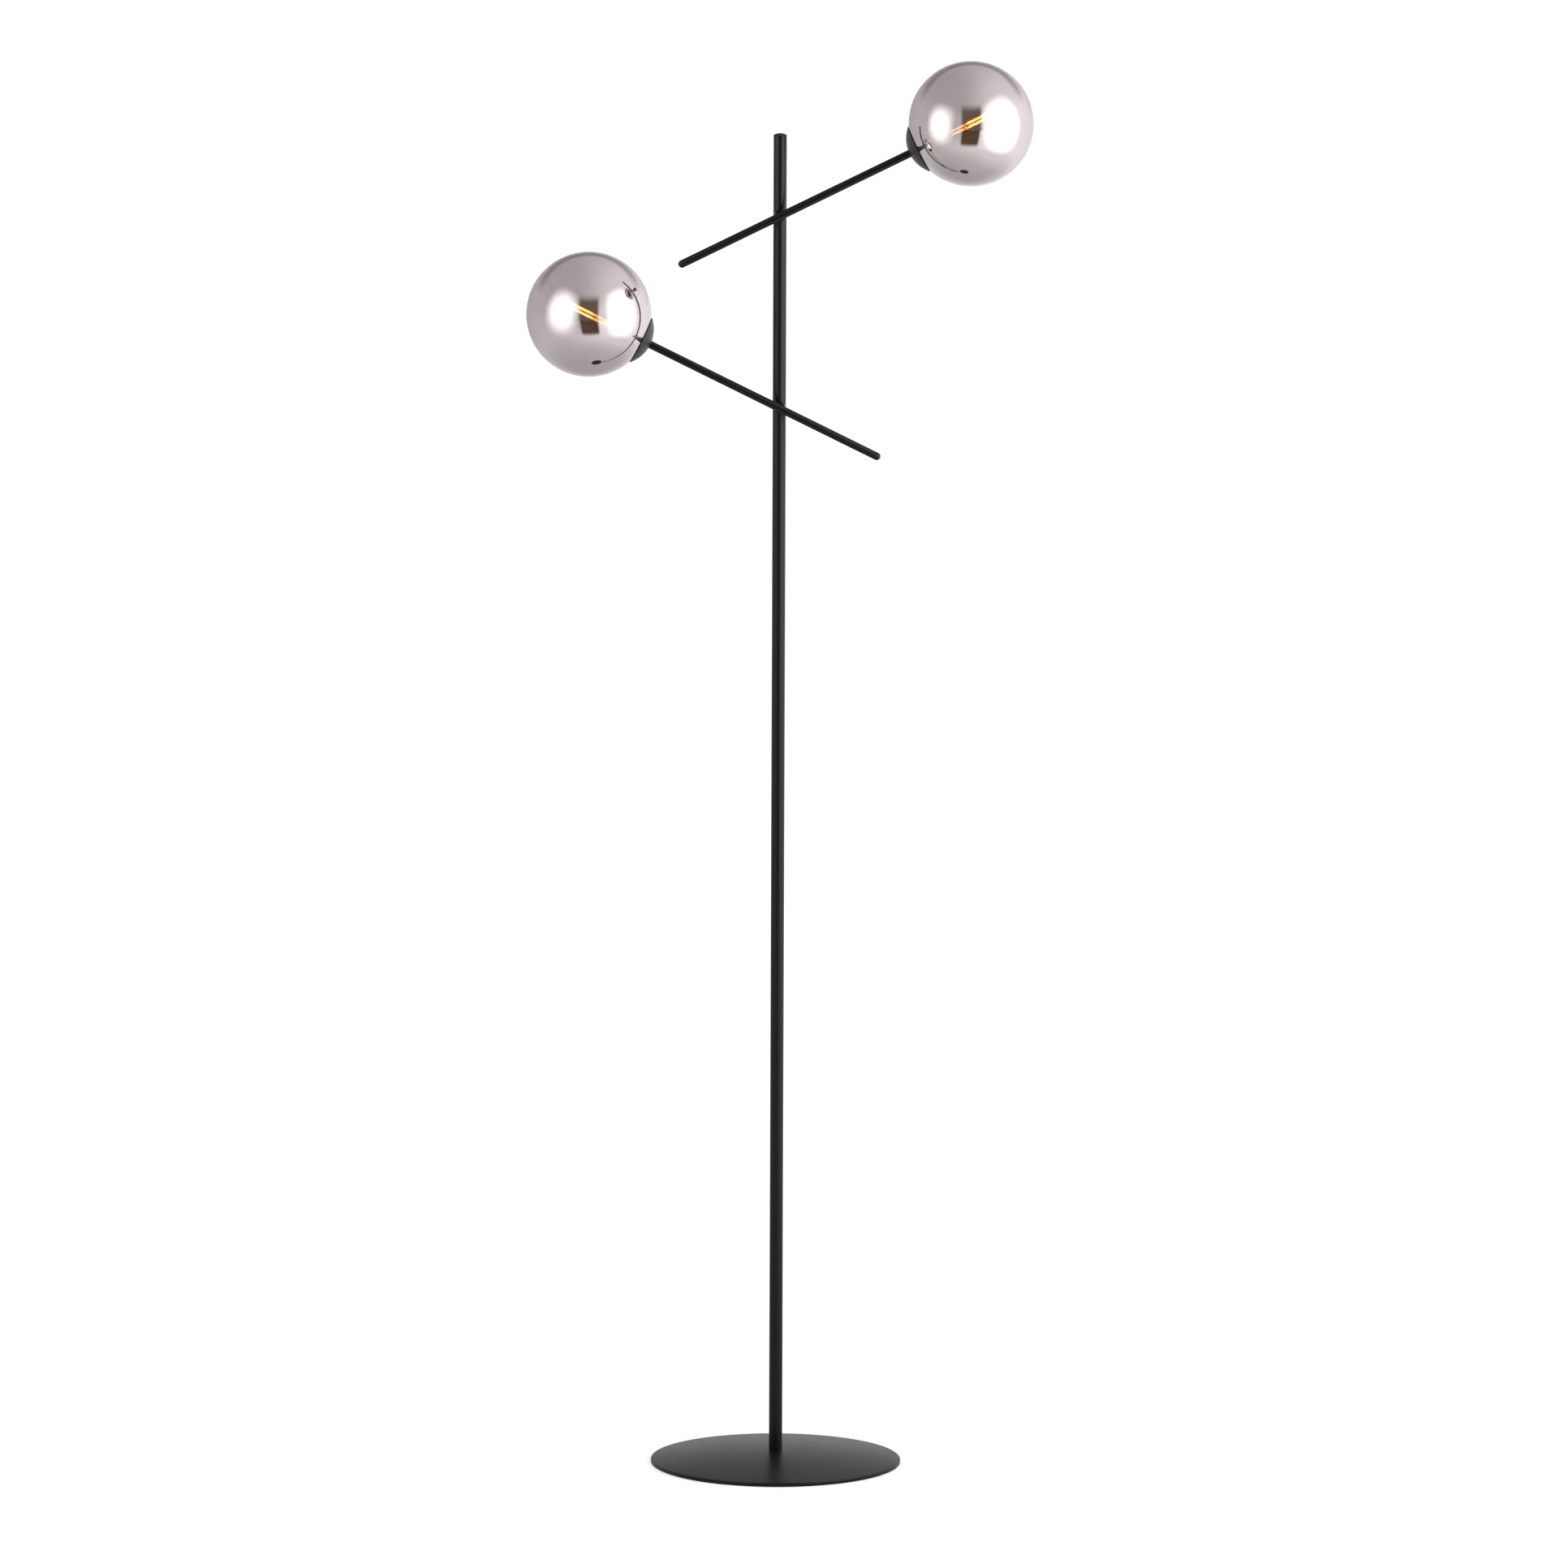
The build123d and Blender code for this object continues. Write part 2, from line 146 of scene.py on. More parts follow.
def rounded(before: Corner, corner: Corner, after: Corner) -> list[Point]:
    """Replace one corner of an outline by a small arc.

    Args:
        before: the point before the corner.
        corner: the corner, with its rounding radius as third number.
        after: the point after the corner.

    Returns:
        The points of the arc.
    """
    middle = Vector(corner[:2])
    back = Vector(before[:2]) - middle
    ahead = Vector(after[:2]) - middle
    half = back.angle(ahead) / 2.0
    reach = min(corner[2] / math.tan(half), CORNER_SHARE * back.length, CORNER_SHARE * ahead.length)
    radius = reach * math.tan(half)
    inward = (back.normalized() + ahead.normalized()).normalized()
    centre = middle + inward * (radius / math.sin(half))
    first = middle + back.normalized() * reach - centre
    last = middle + ahead.normalized() * reach - centre
    points = []
    for step in range(CORNER_STEPS + 1):
        spoke = first.lerp(last, step / CORNER_STEPS).normalized() * radius
        points.append(tuple(centre + spoke))
    return points


def trace(corners: Sequence[Corner], closed: bool = True) -> list[Point]:
    """Turn corners into the points of an outline.

    Args:
        corners: pairs of distance and radius, each with a rounding radius where it has one.
        closed: whether the outline comes back to its first corner.

    Returns:
        The points in order, the first one repeated at the end of a closed outline.
    """
    count = len(corners)
    points: list[Point] = []
    for index, corner in enumerate(corners):
        inner = closed or 0 < index < count - 1
        if inner and len(corner) > 2 and corner[2] > 0.0:
            points += rounded(corners[index - 1], corner, corners[(index + 1) % count])
        else:
            points.append((corner[0], corner[1]))
    if closed:
        points.append(points[0])
    return points


# Modelling tools

class Turn(Enum):
    """Axis that a turned piece is spun about."""

    UPRIGHT = (0.0, 0.0, 1.0)
    ACROSS = (0.0, 1.0, 0.0)
    ALONG = (1.0, 0.0, 0.0)

    def place(self, point: Point) -> Vector:
        """Put a point of an outline in space.

        Args:
            point: distance along the axis and radius, in millimetres.

        Returns:
            The point in metres, on one side of the axis.
        """
        along, radius = point
        if self is Turn.UPRIGHT:
            return Vector((radius, 0.0, along)) * MM
        if self is Turn.ACROSS:
            return Vector((radius, along, 0.0)) * MM
        return Vector((along, 0.0, radius)) * MM


class Trim(Enum):
    """How one solid changes another."""

    CUT = "DIFFERENCE"
    JOIN = "UNION"
    KEEP = "INTERSECT"


class Bench:
    """Hand tools for one new mesh at a time."""

    smooth_angle: float = math.radians(32.0)
    weld: float = 2e-6
    nut_chamfer: float = 0.58
    nut_margin: float = 0.01
    nut_segments: int = 72

    def clear(self) -> None:
        """Leave edit mode and deselect everything."""
        if bpy.context.object and bpy.context.object.mode != "OBJECT":
            bpy.ops.object.mode_set(mode="OBJECT")
        bpy.ops.object.select_all(action="DESELECT")

    def pick(self, piece: Thing) -> None:
        """Select one object alone and make it active.

        Args:
            piece: the object.
        """
        self.clear()
        piece.select_set(True)
        bpy.context.view_layer.objects.active = piece

    def smooth(self, piece: Thing) -> Thing:
        """Shade a piece smooth apart from its sharp edges.

        Args:
            piece: the piece.

        Returns:
            The same piece.
        """
        self.pick(piece)
        bpy.ops.object.shade_smooth_by_angle(angle=self.smooth_angle)
        return piece

    def turned(
        self,
        name: str,
        turn: Turn,
        corners: Sequence[Corner],
        steps: int = PIECE_SEGMENTS,
        closed: bool = True,
    ) -> Thing:
        """Spin an outline into a turned piece.

        Args:
            name: name of the new object.
            turn: axis of the spin.
            corners: the outline's corners, in millimetres.
            steps: number of segments round the axis.
            closed: whether the outline comes back to its first corner.

        Returns:
            The new object, at the origin.
        """
        places = [turn.place(point) for point in trace(corners, closed)]
        self.clear()
        bpy.ops.mesh.primitive_plane_add(size=MM)
        piece = bpy.context.object
        piece.name = name
        bpy.ops.object.mode_set(mode="EDIT")
        bpy.ops.mesh.select_all(action="SELECT")
        bpy.ops.mesh.merge(type="CENTER")
        bpy.ops.transform.translate(value=places[0])
        for last, new in zip(places, places[1:]):
            bpy.ops.mesh.extrude_vertices_move(TRANSFORM_OT_translate={"value": new - last})
        bpy.ops.mesh.select_all(action="SELECT")
        bpy.ops.mesh.spin(steps=steps, angle=FULL_TURN, center=(0.0, 0.0, 0.0), axis=turn.value)
        bpy.ops.mesh.select_all(action="SELECT")
        bpy.ops.mesh.remove_doubles(threshold=self.weld)
        bpy.ops.mesh.normals_make_consistent(inside=False)
        bpy.ops.object.mode_set(mode="OBJECT")
        return self.smooth(piece)

    def rod(self, turn: Turn, radius: float, start: float, end: float, steps: int = PIECE_SEGMENTS) -> Thing:
        """Solid round bar from start to end along an axis."""
        return self.turned("rod", turn, band(start, end, 0.0, radius), steps, closed=False)

    def settle(self, piece: Thing, place: Matrix) -> Thing:
        """Put a piece at a place and apply that to its mesh.

        Args:
            piece: the piece.
            place: where it goes.

        Returns:
            The same piece.
        """
        self.pick(piece)
        piece.matrix_world = place
        bpy.ops.object.transform_apply(location=True, rotation=True, scale=True)
        return piece

    def shift(self, piece: Thing, move: Place) -> Thing:
        """Move a piece's mesh by a distance in millimetres."""
        return self.settle(piece, Matrix.Translation(Vector(move) * MM))

    def trim(self, piece: Thing, tool: Thing, how: Trim) -> Thing:
        """Cut, join or keep with another solid, which is used up.

        Args:
            piece: the piece to change.
            tool: the other solid.
            how: what the tool does.

        Returns:
            The changed piece.
        """
        change = piece.modifiers.new(how.name.lower(), "BOOLEAN")
        change.operation = how.value
        change.solver = "EXACT"
        change.object = tool
        self.pick(piece)
        bpy.ops.object.modifier_apply(modifier=change.name)
        bpy.data.objects.remove(tool)
        return self.smooth(piece)

    def on_arm(
        self, name: str, corners: Sequence[Corner], steps: int = PIECE_SEGMENTS, closed: bool = True
    ) -> Thing:
        """Turn a piece along X and move it from the swivel's axis out to the arm's."""
        return self.shift(self.turned(name, Turn.ALONG, corners, steps, closed), ARM_ASIDE)

    def bed(self, piece: Thing, width: float) -> Thing:
        """Hollow a piece so that it beds on the pole, over a width to each side."""
        pole = self.rod(Turn.UPRIGHT, POLE_RADIUS + CLEARANCE, -width, width, POLE_SEGMENTS)
        return self.trim(piece, pole, Trim.CUT)

    def hexagon(self, name: str, width: float, start: float, height: float) -> Thing:
        """Hexagonal block across the pole with turned corners.

        Args:
            name: name of the new object.
            width: width across flats.
            start: where it starts along Y.
            height: how long it is along Y.

        Returns:
            The new object.
        """
        self.clear()
        reach = width / math.sqrt(3.0)
        bpy.ops.mesh.primitive_cylinder_add(
            vertices=6,
            radius=reach * MM,
            depth=height * MM,
            rotation=(math.pi / 2.0, math.pi / 6.0, 0.0),
            location=(0.0, (start + height / 2.0) * MM, 0.0),
        )
        block = bpy.context.object
        block.name = name
        bpy.ops.object.transform_apply(location=True, rotation=True, scale=True)
        flat = width / 2.0
        slope = (reach - flat) * self.nut_chamfer
        outer = reach + self.nut_margin
        end = start + height
        corners = [(start, 0.0), (start, flat), (start + slope, outer)]
        corners += [(end - slope, outer), (end, flat), (end, 0.0)]
        barrel = self.turned("barrel", Turn.ACROSS, corners, self.nut_segments, closed=False)
        return self.trim(block, barrel, Trim.KEEP)

    def copy(self, piece: Thing, name: str, place: Matrix) -> Thing:
        """Copy a piece with its own mesh to another place.

        Args:
            piece: the piece to copy.
            name: name of the copy.
            place: where the copy goes.

        Returns:
            The copy.
        """
        self.pick(piece)
        bpy.ops.object.duplicate()
        twin = bpy.context.object
        twin.name = name
        return self.settle(twin, place)

    def weld_together(self, name: str, pieces: Sequence[Thing]) -> Thing:
        """Join several objects into one that keeps their materials.

        Args:
            name: name of the joined object.
            pieces: the objects, of which the first takes in the others.

        Returns:
            The joined object.
        """
        self.pick(pieces[0])
        for piece in pieces[1:]:
            piece.select_set(True)
        bpy.ops.object.join()
        pieces[0].name = name
        return pieces[0]


# Node tools

class Fade(Enum):
    """Shape of a fade between two levels."""

    EVEN = "LINEAR"
    SOFT = "SMOOTHSTEP"


class Sum(Enum):
    """What is worked out from one or two values."""

    SIZE = "ABSOLUTE"
    LARGER = "MAXIMUM"
    PRODUCT = "MULTIPLY"
    RATIO = "DIVIDE"


class Ray(Enum):
    """Kind of ray that sees a surface."""

    CAMERA = "Is Camera Ray"
    MIRROR = "Is Glossy Ray"
    GLASS = "Is Transmission Ray"


class Wiring:
    """Short calls that add nodes to the tree of a material, a lamp or the surround."""

    def __init__(self, tree: bpy.types.NodeTree) -> None:
        """Work on one node tree."""
        self.tree = tree

    def sum_up(self, how: Sum, one: Socket, other: Optional[Socket] = None) -> Socket:
        """Work out one value from one or two others.

        Args:
            how: what is worked out.
            one: the first value.
            other: the second value, where there is one.

        Returns:
            The result.
        """
        node = self.tree.nodes.new("ShaderNodeMath")
        node.operation = how.value
        self.tree.links.new(one, node.inputs[0])
        if other is not None:
            self.tree.links.new(other, node.inputs[1])
        return node.outputs["Value"]

    def fade(
        self, value: Socket, span: Span, first: float, last: float, how: Fade = Fade.SOFT
    ) -> Socket:
        """Fade from one level to another.

        Args:
            value: what the fade follows.
            span: values where the fade starts and ends.
            first: level before the start.
            last: level after the end.
            how: shape of the fade.

        Returns:
            The level.
        """
        ramp = self.tree.nodes.new("ShaderNodeMapRange")
        ramp.interpolation_type = how.value
        ramp.inputs["From Min"].default_value = span[0]
        ramp.inputs["From Max"].default_value = span[1]
        ramp.inputs["To Min"].default_value = first
        ramp.inputs["To Max"].default_value = last
        self.tree.links.new(value, ramp.inputs["Value"])
        return ramp.outputs["Result"]

    def product(self, *values: Socket) -> Socket:
        """Multiply several values.

        Args:
            values: the values.

        Returns:
            Their product.
        """
        total = values[0]
        for value in values[1:]:
            total = self.sum_up(Sum.PRODUCT, total, value)
        return total

    def split(self, vector: Socket) -> bpy.types.NodeOutputs:
        """Split a vector.

        Args:
            vector: the vector.

        Returns:
            Its three parts, by the names of the axes.
        """
        parts = self.tree.nodes.new("ShaderNodeSeparateXYZ")
        self.tree.links.new(vector, parts.inputs["Vector"])
        return parts.outputs

    def glow(self, colour: Colour, strength: float = 1.0) -> Node:
        """Background of one colour.

        Args:
            colour: the colour.
            strength: how bright it is.

        Returns:
            The background.
        """
        back = self.tree.nodes.new("ShaderNodeBackground")
        back.inputs["Color"].default_value = (*colour, 1.0)
        back.inputs["Strength"].default_value = strength
        return back

    def mix(self, share: Socket, one: Node, other: Node) -> Node:
        """Blend two shaders.

        Args:
            share: share of the second one.
            one: the first shader.
            other: the second shader.

        Returns:
            The blended shader.
        """
        node = self.tree.nodes.new("ShaderNodeMixShader")
        self.tree.links.new(share, node.inputs["Fac"])
        self.tree.links.new(one.outputs[0], node.inputs[1])
        self.tree.links.new(other.outputs[0], node.inputs[2])
        return node

    def rays(self, *kinds: Ray) -> Socket:
        """Tell rays of some kinds from the others.

        Args:
            kinds: the kinds of ray.

        Returns:
            A value of 1 for rays of any of these kinds.
        """
        path = self.tree.nodes.new("ShaderNodeLightPath")
        total = path.outputs[kinds[0].value]
        for kind in kinds[1:]:
            total = self.sum_up(Sum.LARGER, total, path.outputs[kind.value])
        return total


# Finishes, with sizes in millimetres

class Recipe(Wiring):
    """Node tree of one material round its shader."""

    middle: Span = (0.3, 0.7)

    def __init__(self, name: str) -> None:
        """Start a material with its shader and object coordinates.

        Args:
            name: name of the material.
        """
        self.material = bpy.data.materials.new(name)
        self.material.use_nodes = True
        super().__init__(self.material.node_tree)
        self.shader = self.tree.nodes["Principled BSDF"]
        self.place = self.tree.nodes.new("ShaderNodeTexCoord").outputs["Object"]

    def noise(self, size: float, detail: float) -> Socket:
        """Noise pattern of a given grain.

        Args:
            size: size of its patches in millimetres.
            detail: how many finer layers it has.

        Returns:
            The pattern's output, from 0 to 1.
        """
        noise = self.tree.nodes.new("ShaderNodeTexNoise")
        noise.inputs["Scale"].default_value = 1.0 / (size * MM)
        noise.inputs["Detail"].default_value = detail
        self.tree.links.new(self.place, noise.inputs["Vector"])
        return noise.outputs["Fac"]

    def spread(self, pattern: Socket, low: float, high: float) -> Socket:
        """Spread the middle of a pattern over a range of values."""
        return self.fade(pattern, self.middle, low, high, Fade.EVEN)

    def blend(self, pattern: Socket, one: Colour, other: Colour) -> Socket:
        """Blend two colours by a pattern.

        Args:
            pattern: the pattern, from 0 to 1.
            one: colour where the pattern is low.
            other: colour where it is high.

        Returns:
            The blended colour.
        """
        mix = self.tree.nodes.new("ShaderNodeMix")
        mix.data_type = "RGBA"
        colours = {"A": one, "B": other}
        for socket in mix.inputs:
            if socket.name in colours and socket.type == "RGBA":
                socket.default_value = (*colours[socket.name], 1.0)
        self.tree.links.new(self.spread(pattern, 0.0, 1.0), mix.inputs["Factor"])
        return next(out for out in mix.outputs if out.type == "RGBA")

    def relief(self, pattern: Socket, depth: float, under: Optional[Node] = None) -> Node:
        """Raise the surface by a pattern.

        Args:
            pattern: the height from 0 to 1.
            depth: height of the relief in millimetres.
            under: an earlier relief that this one adds to.

        Returns:
            The relief node, joined to the shader.
        """
        bump = self.tree.nodes.new("ShaderNodeBump")
        bump.inputs["Strength"].default_value = 1.0
        bump.inputs["Distance"].default_value = depth * MM
        self.tree.links.new(pattern, bump.inputs["Height"])
        if under is not None:
            self.tree.links.new(under.outputs["Normal"], bump.inputs["Normal"])
        self.join(bump.outputs["Normal"], "Normal")
        return bump

    def set(self, **values: object) -> None:
        """Set constants on the shader's own sockets, named with underscores for spaces."""
        for name, value in values.items():
            self.shader.inputs[name.replace("_", " ")].default_value = value

    def join(self, output: Socket, socket: str) -> None:
        """Feed one of the shader's sockets."""
        self.tree.links.new(output, self.shader.inputs[socket])


@dataclass(frozen=True)
class Finish:
    """Opaque surface with mottled colour, uneven gloss and a fine relief."""

    slot: str
    light: Colour
    dark: Colour
    patch: float
    gloss: Span
    grain: float
    grain_depth: float
    peel: float = 2.2
    peel_depth: float = 0.0
    metallic: float = 0.0
    specular: float = 0.5

    mottle_detail: ClassVar[float] = 4.0
    grain_detail: ClassVar[float] = 2.0
    sheen_detail: ClassVar[float] = 5.0
    peel_detail: ClassVar[float] = 1.0
    sheens_in_patch: ClassVar[float] = 3.0

    def make(self) -> Material:
        """Build the material.

        Returns:
            The new material.
        """
        recipe = Recipe(self.slot)
        mottle = recipe.noise(self.patch, self.mottle_detail)
        recipe.join(recipe.blend(mottle, self.dark, self.light), "Base Color")
        grain = recipe.noise(self.grain, self.grain_detail)
        sheen = recipe.noise(self.patch / self.sheens_in_patch, self.sheen_detail)
        recipe.join(recipe.spread(sheen, *self.gloss), "Roughness")
        relief = recipe.relief(grain, self.grain_depth)
        if self.peel_depth:
            recipe.relief(recipe.noise(self.peel, self.peel_detail), self.peel_depth, relief)
        recipe.set(Metallic=self.metallic, Specular_IOR_Level=self.specular)
        return self.finish_off(recipe)

    def finish_off(self, recipe: Recipe) -> Material:
        """Give back the finished material; some finishes add to it here."""
        return recipe.material


@dataclass(frozen=True)
class Glass(Finish):
    """Clear or half-mirrored glass, with the faint waves of blown glass."""

    ior: float = 1.45
    edge: Colour = WHITE

    def finish_off(self, recipe: Recipe) -> Material:
        """Let light through."""
        recipe.set(Transmission_Weight=1.0, IOR=self.ior, Specular_Tint=(*self.edge, 1.0))
        return recipe.material


@dataclass(frozen=True)
class Glow(Finish):
    """Lit surface, brighter and dimmer in fine patches."""

    colour: Colour = (1.0, 0.64, 0.27)
    strength: float = 30.0
    unevenness: float = 0.15

    def finish_off(self, recipe: Recipe) -> Material:
        """Add the light.

        Args:
            recipe: the material so far.

        Returns:
            The lit material.
        """
        patches = recipe.noise(self.patch, self.grain_detail)
        dim = (1.0 - self.unevenness) * self.strength
        bright = (1.0 + self.unevenness) * self.strength
        recipe.join(recipe.spread(patches, dim, bright), "Emission Strength")
        recipe.set(Emission_Color=(*self.colour, 1.0))
        return recipe.material


FINISHES: tuple[Finish, ...] = (
    Finish("black_coat", (0.0050, 0.0042, 0.0039), (0.0038, 0.0031, 0.0029), patch=30.0, gloss=(0.30, 0.33),
           grain=0.35, grain_depth=0.004, peel_depth=0.005, specular=0.32),
    Glass("mirrored_glass", (0.85, 0.78, 0.785), (0.81, 0.74, 0.75), patch=45.0, gloss=(0.004, 0.012),
          grain=60.0, grain_depth=0.015, metallic=0.72, edge=(0.75, 0.74, 0.74)),
    Glass("bulb_glass", (1.0, 0.84, 0.56), (1.0, 0.80, 0.48), patch=20.0, gloss=(0.0, 0.02),
          grain=25.0, grain_depth=0.03, ior=1.3),
    Finish("bulb_cap", (0.66, 0.64, 0.60), (0.52, 0.50, 0.46), patch=4.0, gloss=(0.2, 0.35),
           grain=0.4, grain_depth=0.003, metallic=1.0),
    Glow("filament", (1.0, 0.72, 0.34), (1.0, 0.62, 0.2), patch=1.2, gloss=(0.5, 0.6),
         grain=0.4, grain_depth=0.02),
    Finish("black_plastic", (0.032, 0.031, 0.030), (0.022, 0.022, 0.021), patch=12.0, gloss=(0.35, 0.5),
           grain=0.5, grain_depth=0.01),
    Finish("brass", (0.80, 0.62, 0.32), (0.66, 0.48, 0.22), patch=3.0, gloss=(0.2, 0.4),
           grain=0.3, grain_depth=0.003, metallic=1.0),
    Finish("zinc_steel", (0.64, 0.64, 0.65), (0.50, 0.50, 0.52), patch=4.0, gloss=(0.25, 0.4),
           grain=0.3, grain_depth=0.003, metallic=1.0),
    Finish("ballast", (0.13, 0.125, 0.12), (0.075, 0.07, 0.068), patch=8.0, gloss=(0.65, 0.85),
           grain=0.8, grain_depth=0.12),
    Finish("pad", (0.055, 0.055, 0.056), (0.035, 0.035, 0.036), patch=2.5, gloss=(0.85, 0.98),
           grain=0.45, grain_depth=0.15, specular=0.2),
    Finish("black_rubber", (0.032, 0.031, 0.030), (0.020, 0.020, 0.020), patch=5.0, gloss=(0.6, 0.75),
           grain=0.3, grain_depth=0.01, specular=0.35),
    Finish("nylon", (0.055, 0.054, 0.052), (0.040, 0.040, 0.039), patch=4.0, gloss=(0.4, 0.55),
           grain=0.3, grain_depth=0.006),
    Finish("lead_sheath", (0.055, 0.054, 0.053), (0.038, 0.038, 0.038), patch=6.0, gloss=(0.35, 0.5),
           grain=0.5, grain_depth=0.006),
    # Painted sheen: the cup is the same black coat as the pole and arms, painted several times paler here to
    # stand in for the light that the cup catches
    Finish("cup_painted_sheen_coat", (0.036, 0.031, 0.031), (0.029, 0.025, 0.025), patch=18.0, gloss=(0.40, 0.46),
           grain=0.35, grain_depth=0.003, peel_depth=0.003),
    Glass("stem_glass", (0.98, 0.97, 0.95), (0.94, 0.93, 0.90), patch=6.0, gloss=(0.02, 0.06),
          grain=8.0, grain_depth=0.05),
    Finish("support_wire", (0.55, 0.53, 0.50), (0.40, 0.38, 0.36), patch=1.5, gloss=(0.25, 0.4),
           grain=0.2, grain_depth=0.002, metallic=1.0),
)


class Paintbox:
    """Materials by name, each made once; most have the name of a slot in the record."""

    def __init__(self) -> None:
        """Make every finish."""
        self.materials = {finish.slot: finish.make() for finish in FINISHES}

    def coat(self, piece: Thing, slot: str) -> None:
        """Give an object one material all over."""
        piece.data.materials.clear()
        piece.data.materials.append(self.materials[slot])


# Places

class ArmPlace(Enum):
    """Where an arm's swivel is and how its pieces turn about it."""

    UPPER = ("upper", 1522.5, -26.4)
    LOWER = ("lower", 1290.0, 206.4)

    @property
    def prefix(self) -> str:
        """First word of the names of this arm's pieces."""
        return self.value[0]

    @property
    def height(self) -> float:
        """Height of the swivel's axis, in millimetres."""
        return self.value[1]

    @property
    def tilt(self) -> float:
        """Turn of the arm about the swivel's axis, in degrees."""
        return self.value[2]

    @property
    def body(self) -> str:
        """The moving body that this arm is."""
        return f"{self.prefix}_arm"

    def level(self) -> Matrix:
        """Place of pieces that stay level with the swivel."""
        return Matrix.Translation((0.0, 0.0, self.height * MM))

    def tilted(self) -> Matrix:
        """Place of pieces that lie along the arm."""
        return self.level() @ Matrix.Rotation(math.radians(self.tilt), 4, "Y")


@dataclass
class Piece:
    """One finished piece and the node that it stands for."""

    thing: Thing
    body: str
    slot: str
    node: str


@dataclass
class SubAssembly:
    """Group of pieces that are built and dressed together."""

    pieces: list[Piece] = field(default_factory=list, init=False)

    def add(self, thing: Thing, body: str, slot: str, node: str) -> None:
        """Keep a finished piece for dressing."""
        self.pieces.append(Piece(thing, body, slot, node))

    def dress(self, paints: Paintbox) -> None:
        """Give every piece its body and a finish where it has none yet, and hide the CAD node that it stands
        for.

        Args:
            paints: the materials.
        """
        for piece in self.pieces:
            if not piece.thing.data.materials:
                paints.coat(piece.thing, piece.slot)
            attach(piece.thing, piece.body)
            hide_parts(piece.node)
            LOG.info("%s rides on %s as %s", piece.thing.name, piece.body, piece.slot)


# Stand, in millimetres

@dataclass
class Base(SubAssembly):
    """Domed cover and the pad under it."""

    radius: float = 150.0
    rim_height: float = 5.0
    dome_rise: float = 12.5
    wall: float = 1.5
    edge_round: float = 1.2
    foot_round: float = 0.5
    floor_gap: float = 0.8
    bolt_hole: float = 5.3
    pad_radius: float = 148.2
    pad_thickness: float = 2.0
    pad_margin: float = 4.0
    pad_round: float = 0.6
    outer_runs: int = 40
    inner_runs: int = 16
    segments: int = 256

    def dome(self, radius: float, rim: float, steps: int) -> list[Corner]:
        """Points over the dome from its rim to the bolt hole.

        Args:
            radius: radius at the rim.
            rim: height of the rim.
            steps: number of straight runs.

        Returns:
            Heights and radii from the rim inwards.
        """
        sphere = (radius ** 2 + self.dome_rise ** 2) / (2.0 * self.dome_rise)
        centre = rim + self.dome_rise - sphere
        points = []
        for step in range(steps + 1):
            out = radius + (self.bolt_hole - radius) * step / steps
            points.append((centre + math.sqrt(sphere ** 2 - out ** 2), out))
        return points

    def build(self, bench: Bench) -> None:
        """Model the cover and the pad.

        Args:
            bench: the modelling tools.
        """
        inner = self.radius - self.wall
        outside = self.dome(self.radius, self.rim_height, self.outer_runs)
        inside = self.dome(inner, self.rim_height - self.wall, self.inner_runs)
        corners: list[Corner] = [
            (self.floor_gap, inner),
            (self.floor_gap, self.radius, self.foot_round),
            (*outside[0], self.edge_round),
            *outside[1:],
            *reversed(inside),
        ]
        cover = bench.turned("base_dome", Turn.UPRIGHT, corners, self.segments)
        self.add(cover, STAND, "black_coat", "base_cover")
        corners = [
            (0.0, 0.0),
            (0.0, self.pad_radius - self.pad_margin),
            (0.0, self.pad_radius, self.pad_round),
            (self.pad_thickness, self.pad_radius, self.pad_round),
            (self.pad_thickness, 0.0),
        ]
        pad = bench.turned("base_foam_pad", Turn.UPRIGHT, corners, self.segments, closed=False)
        self.add(pad, STAND, "pad", "base_pad")


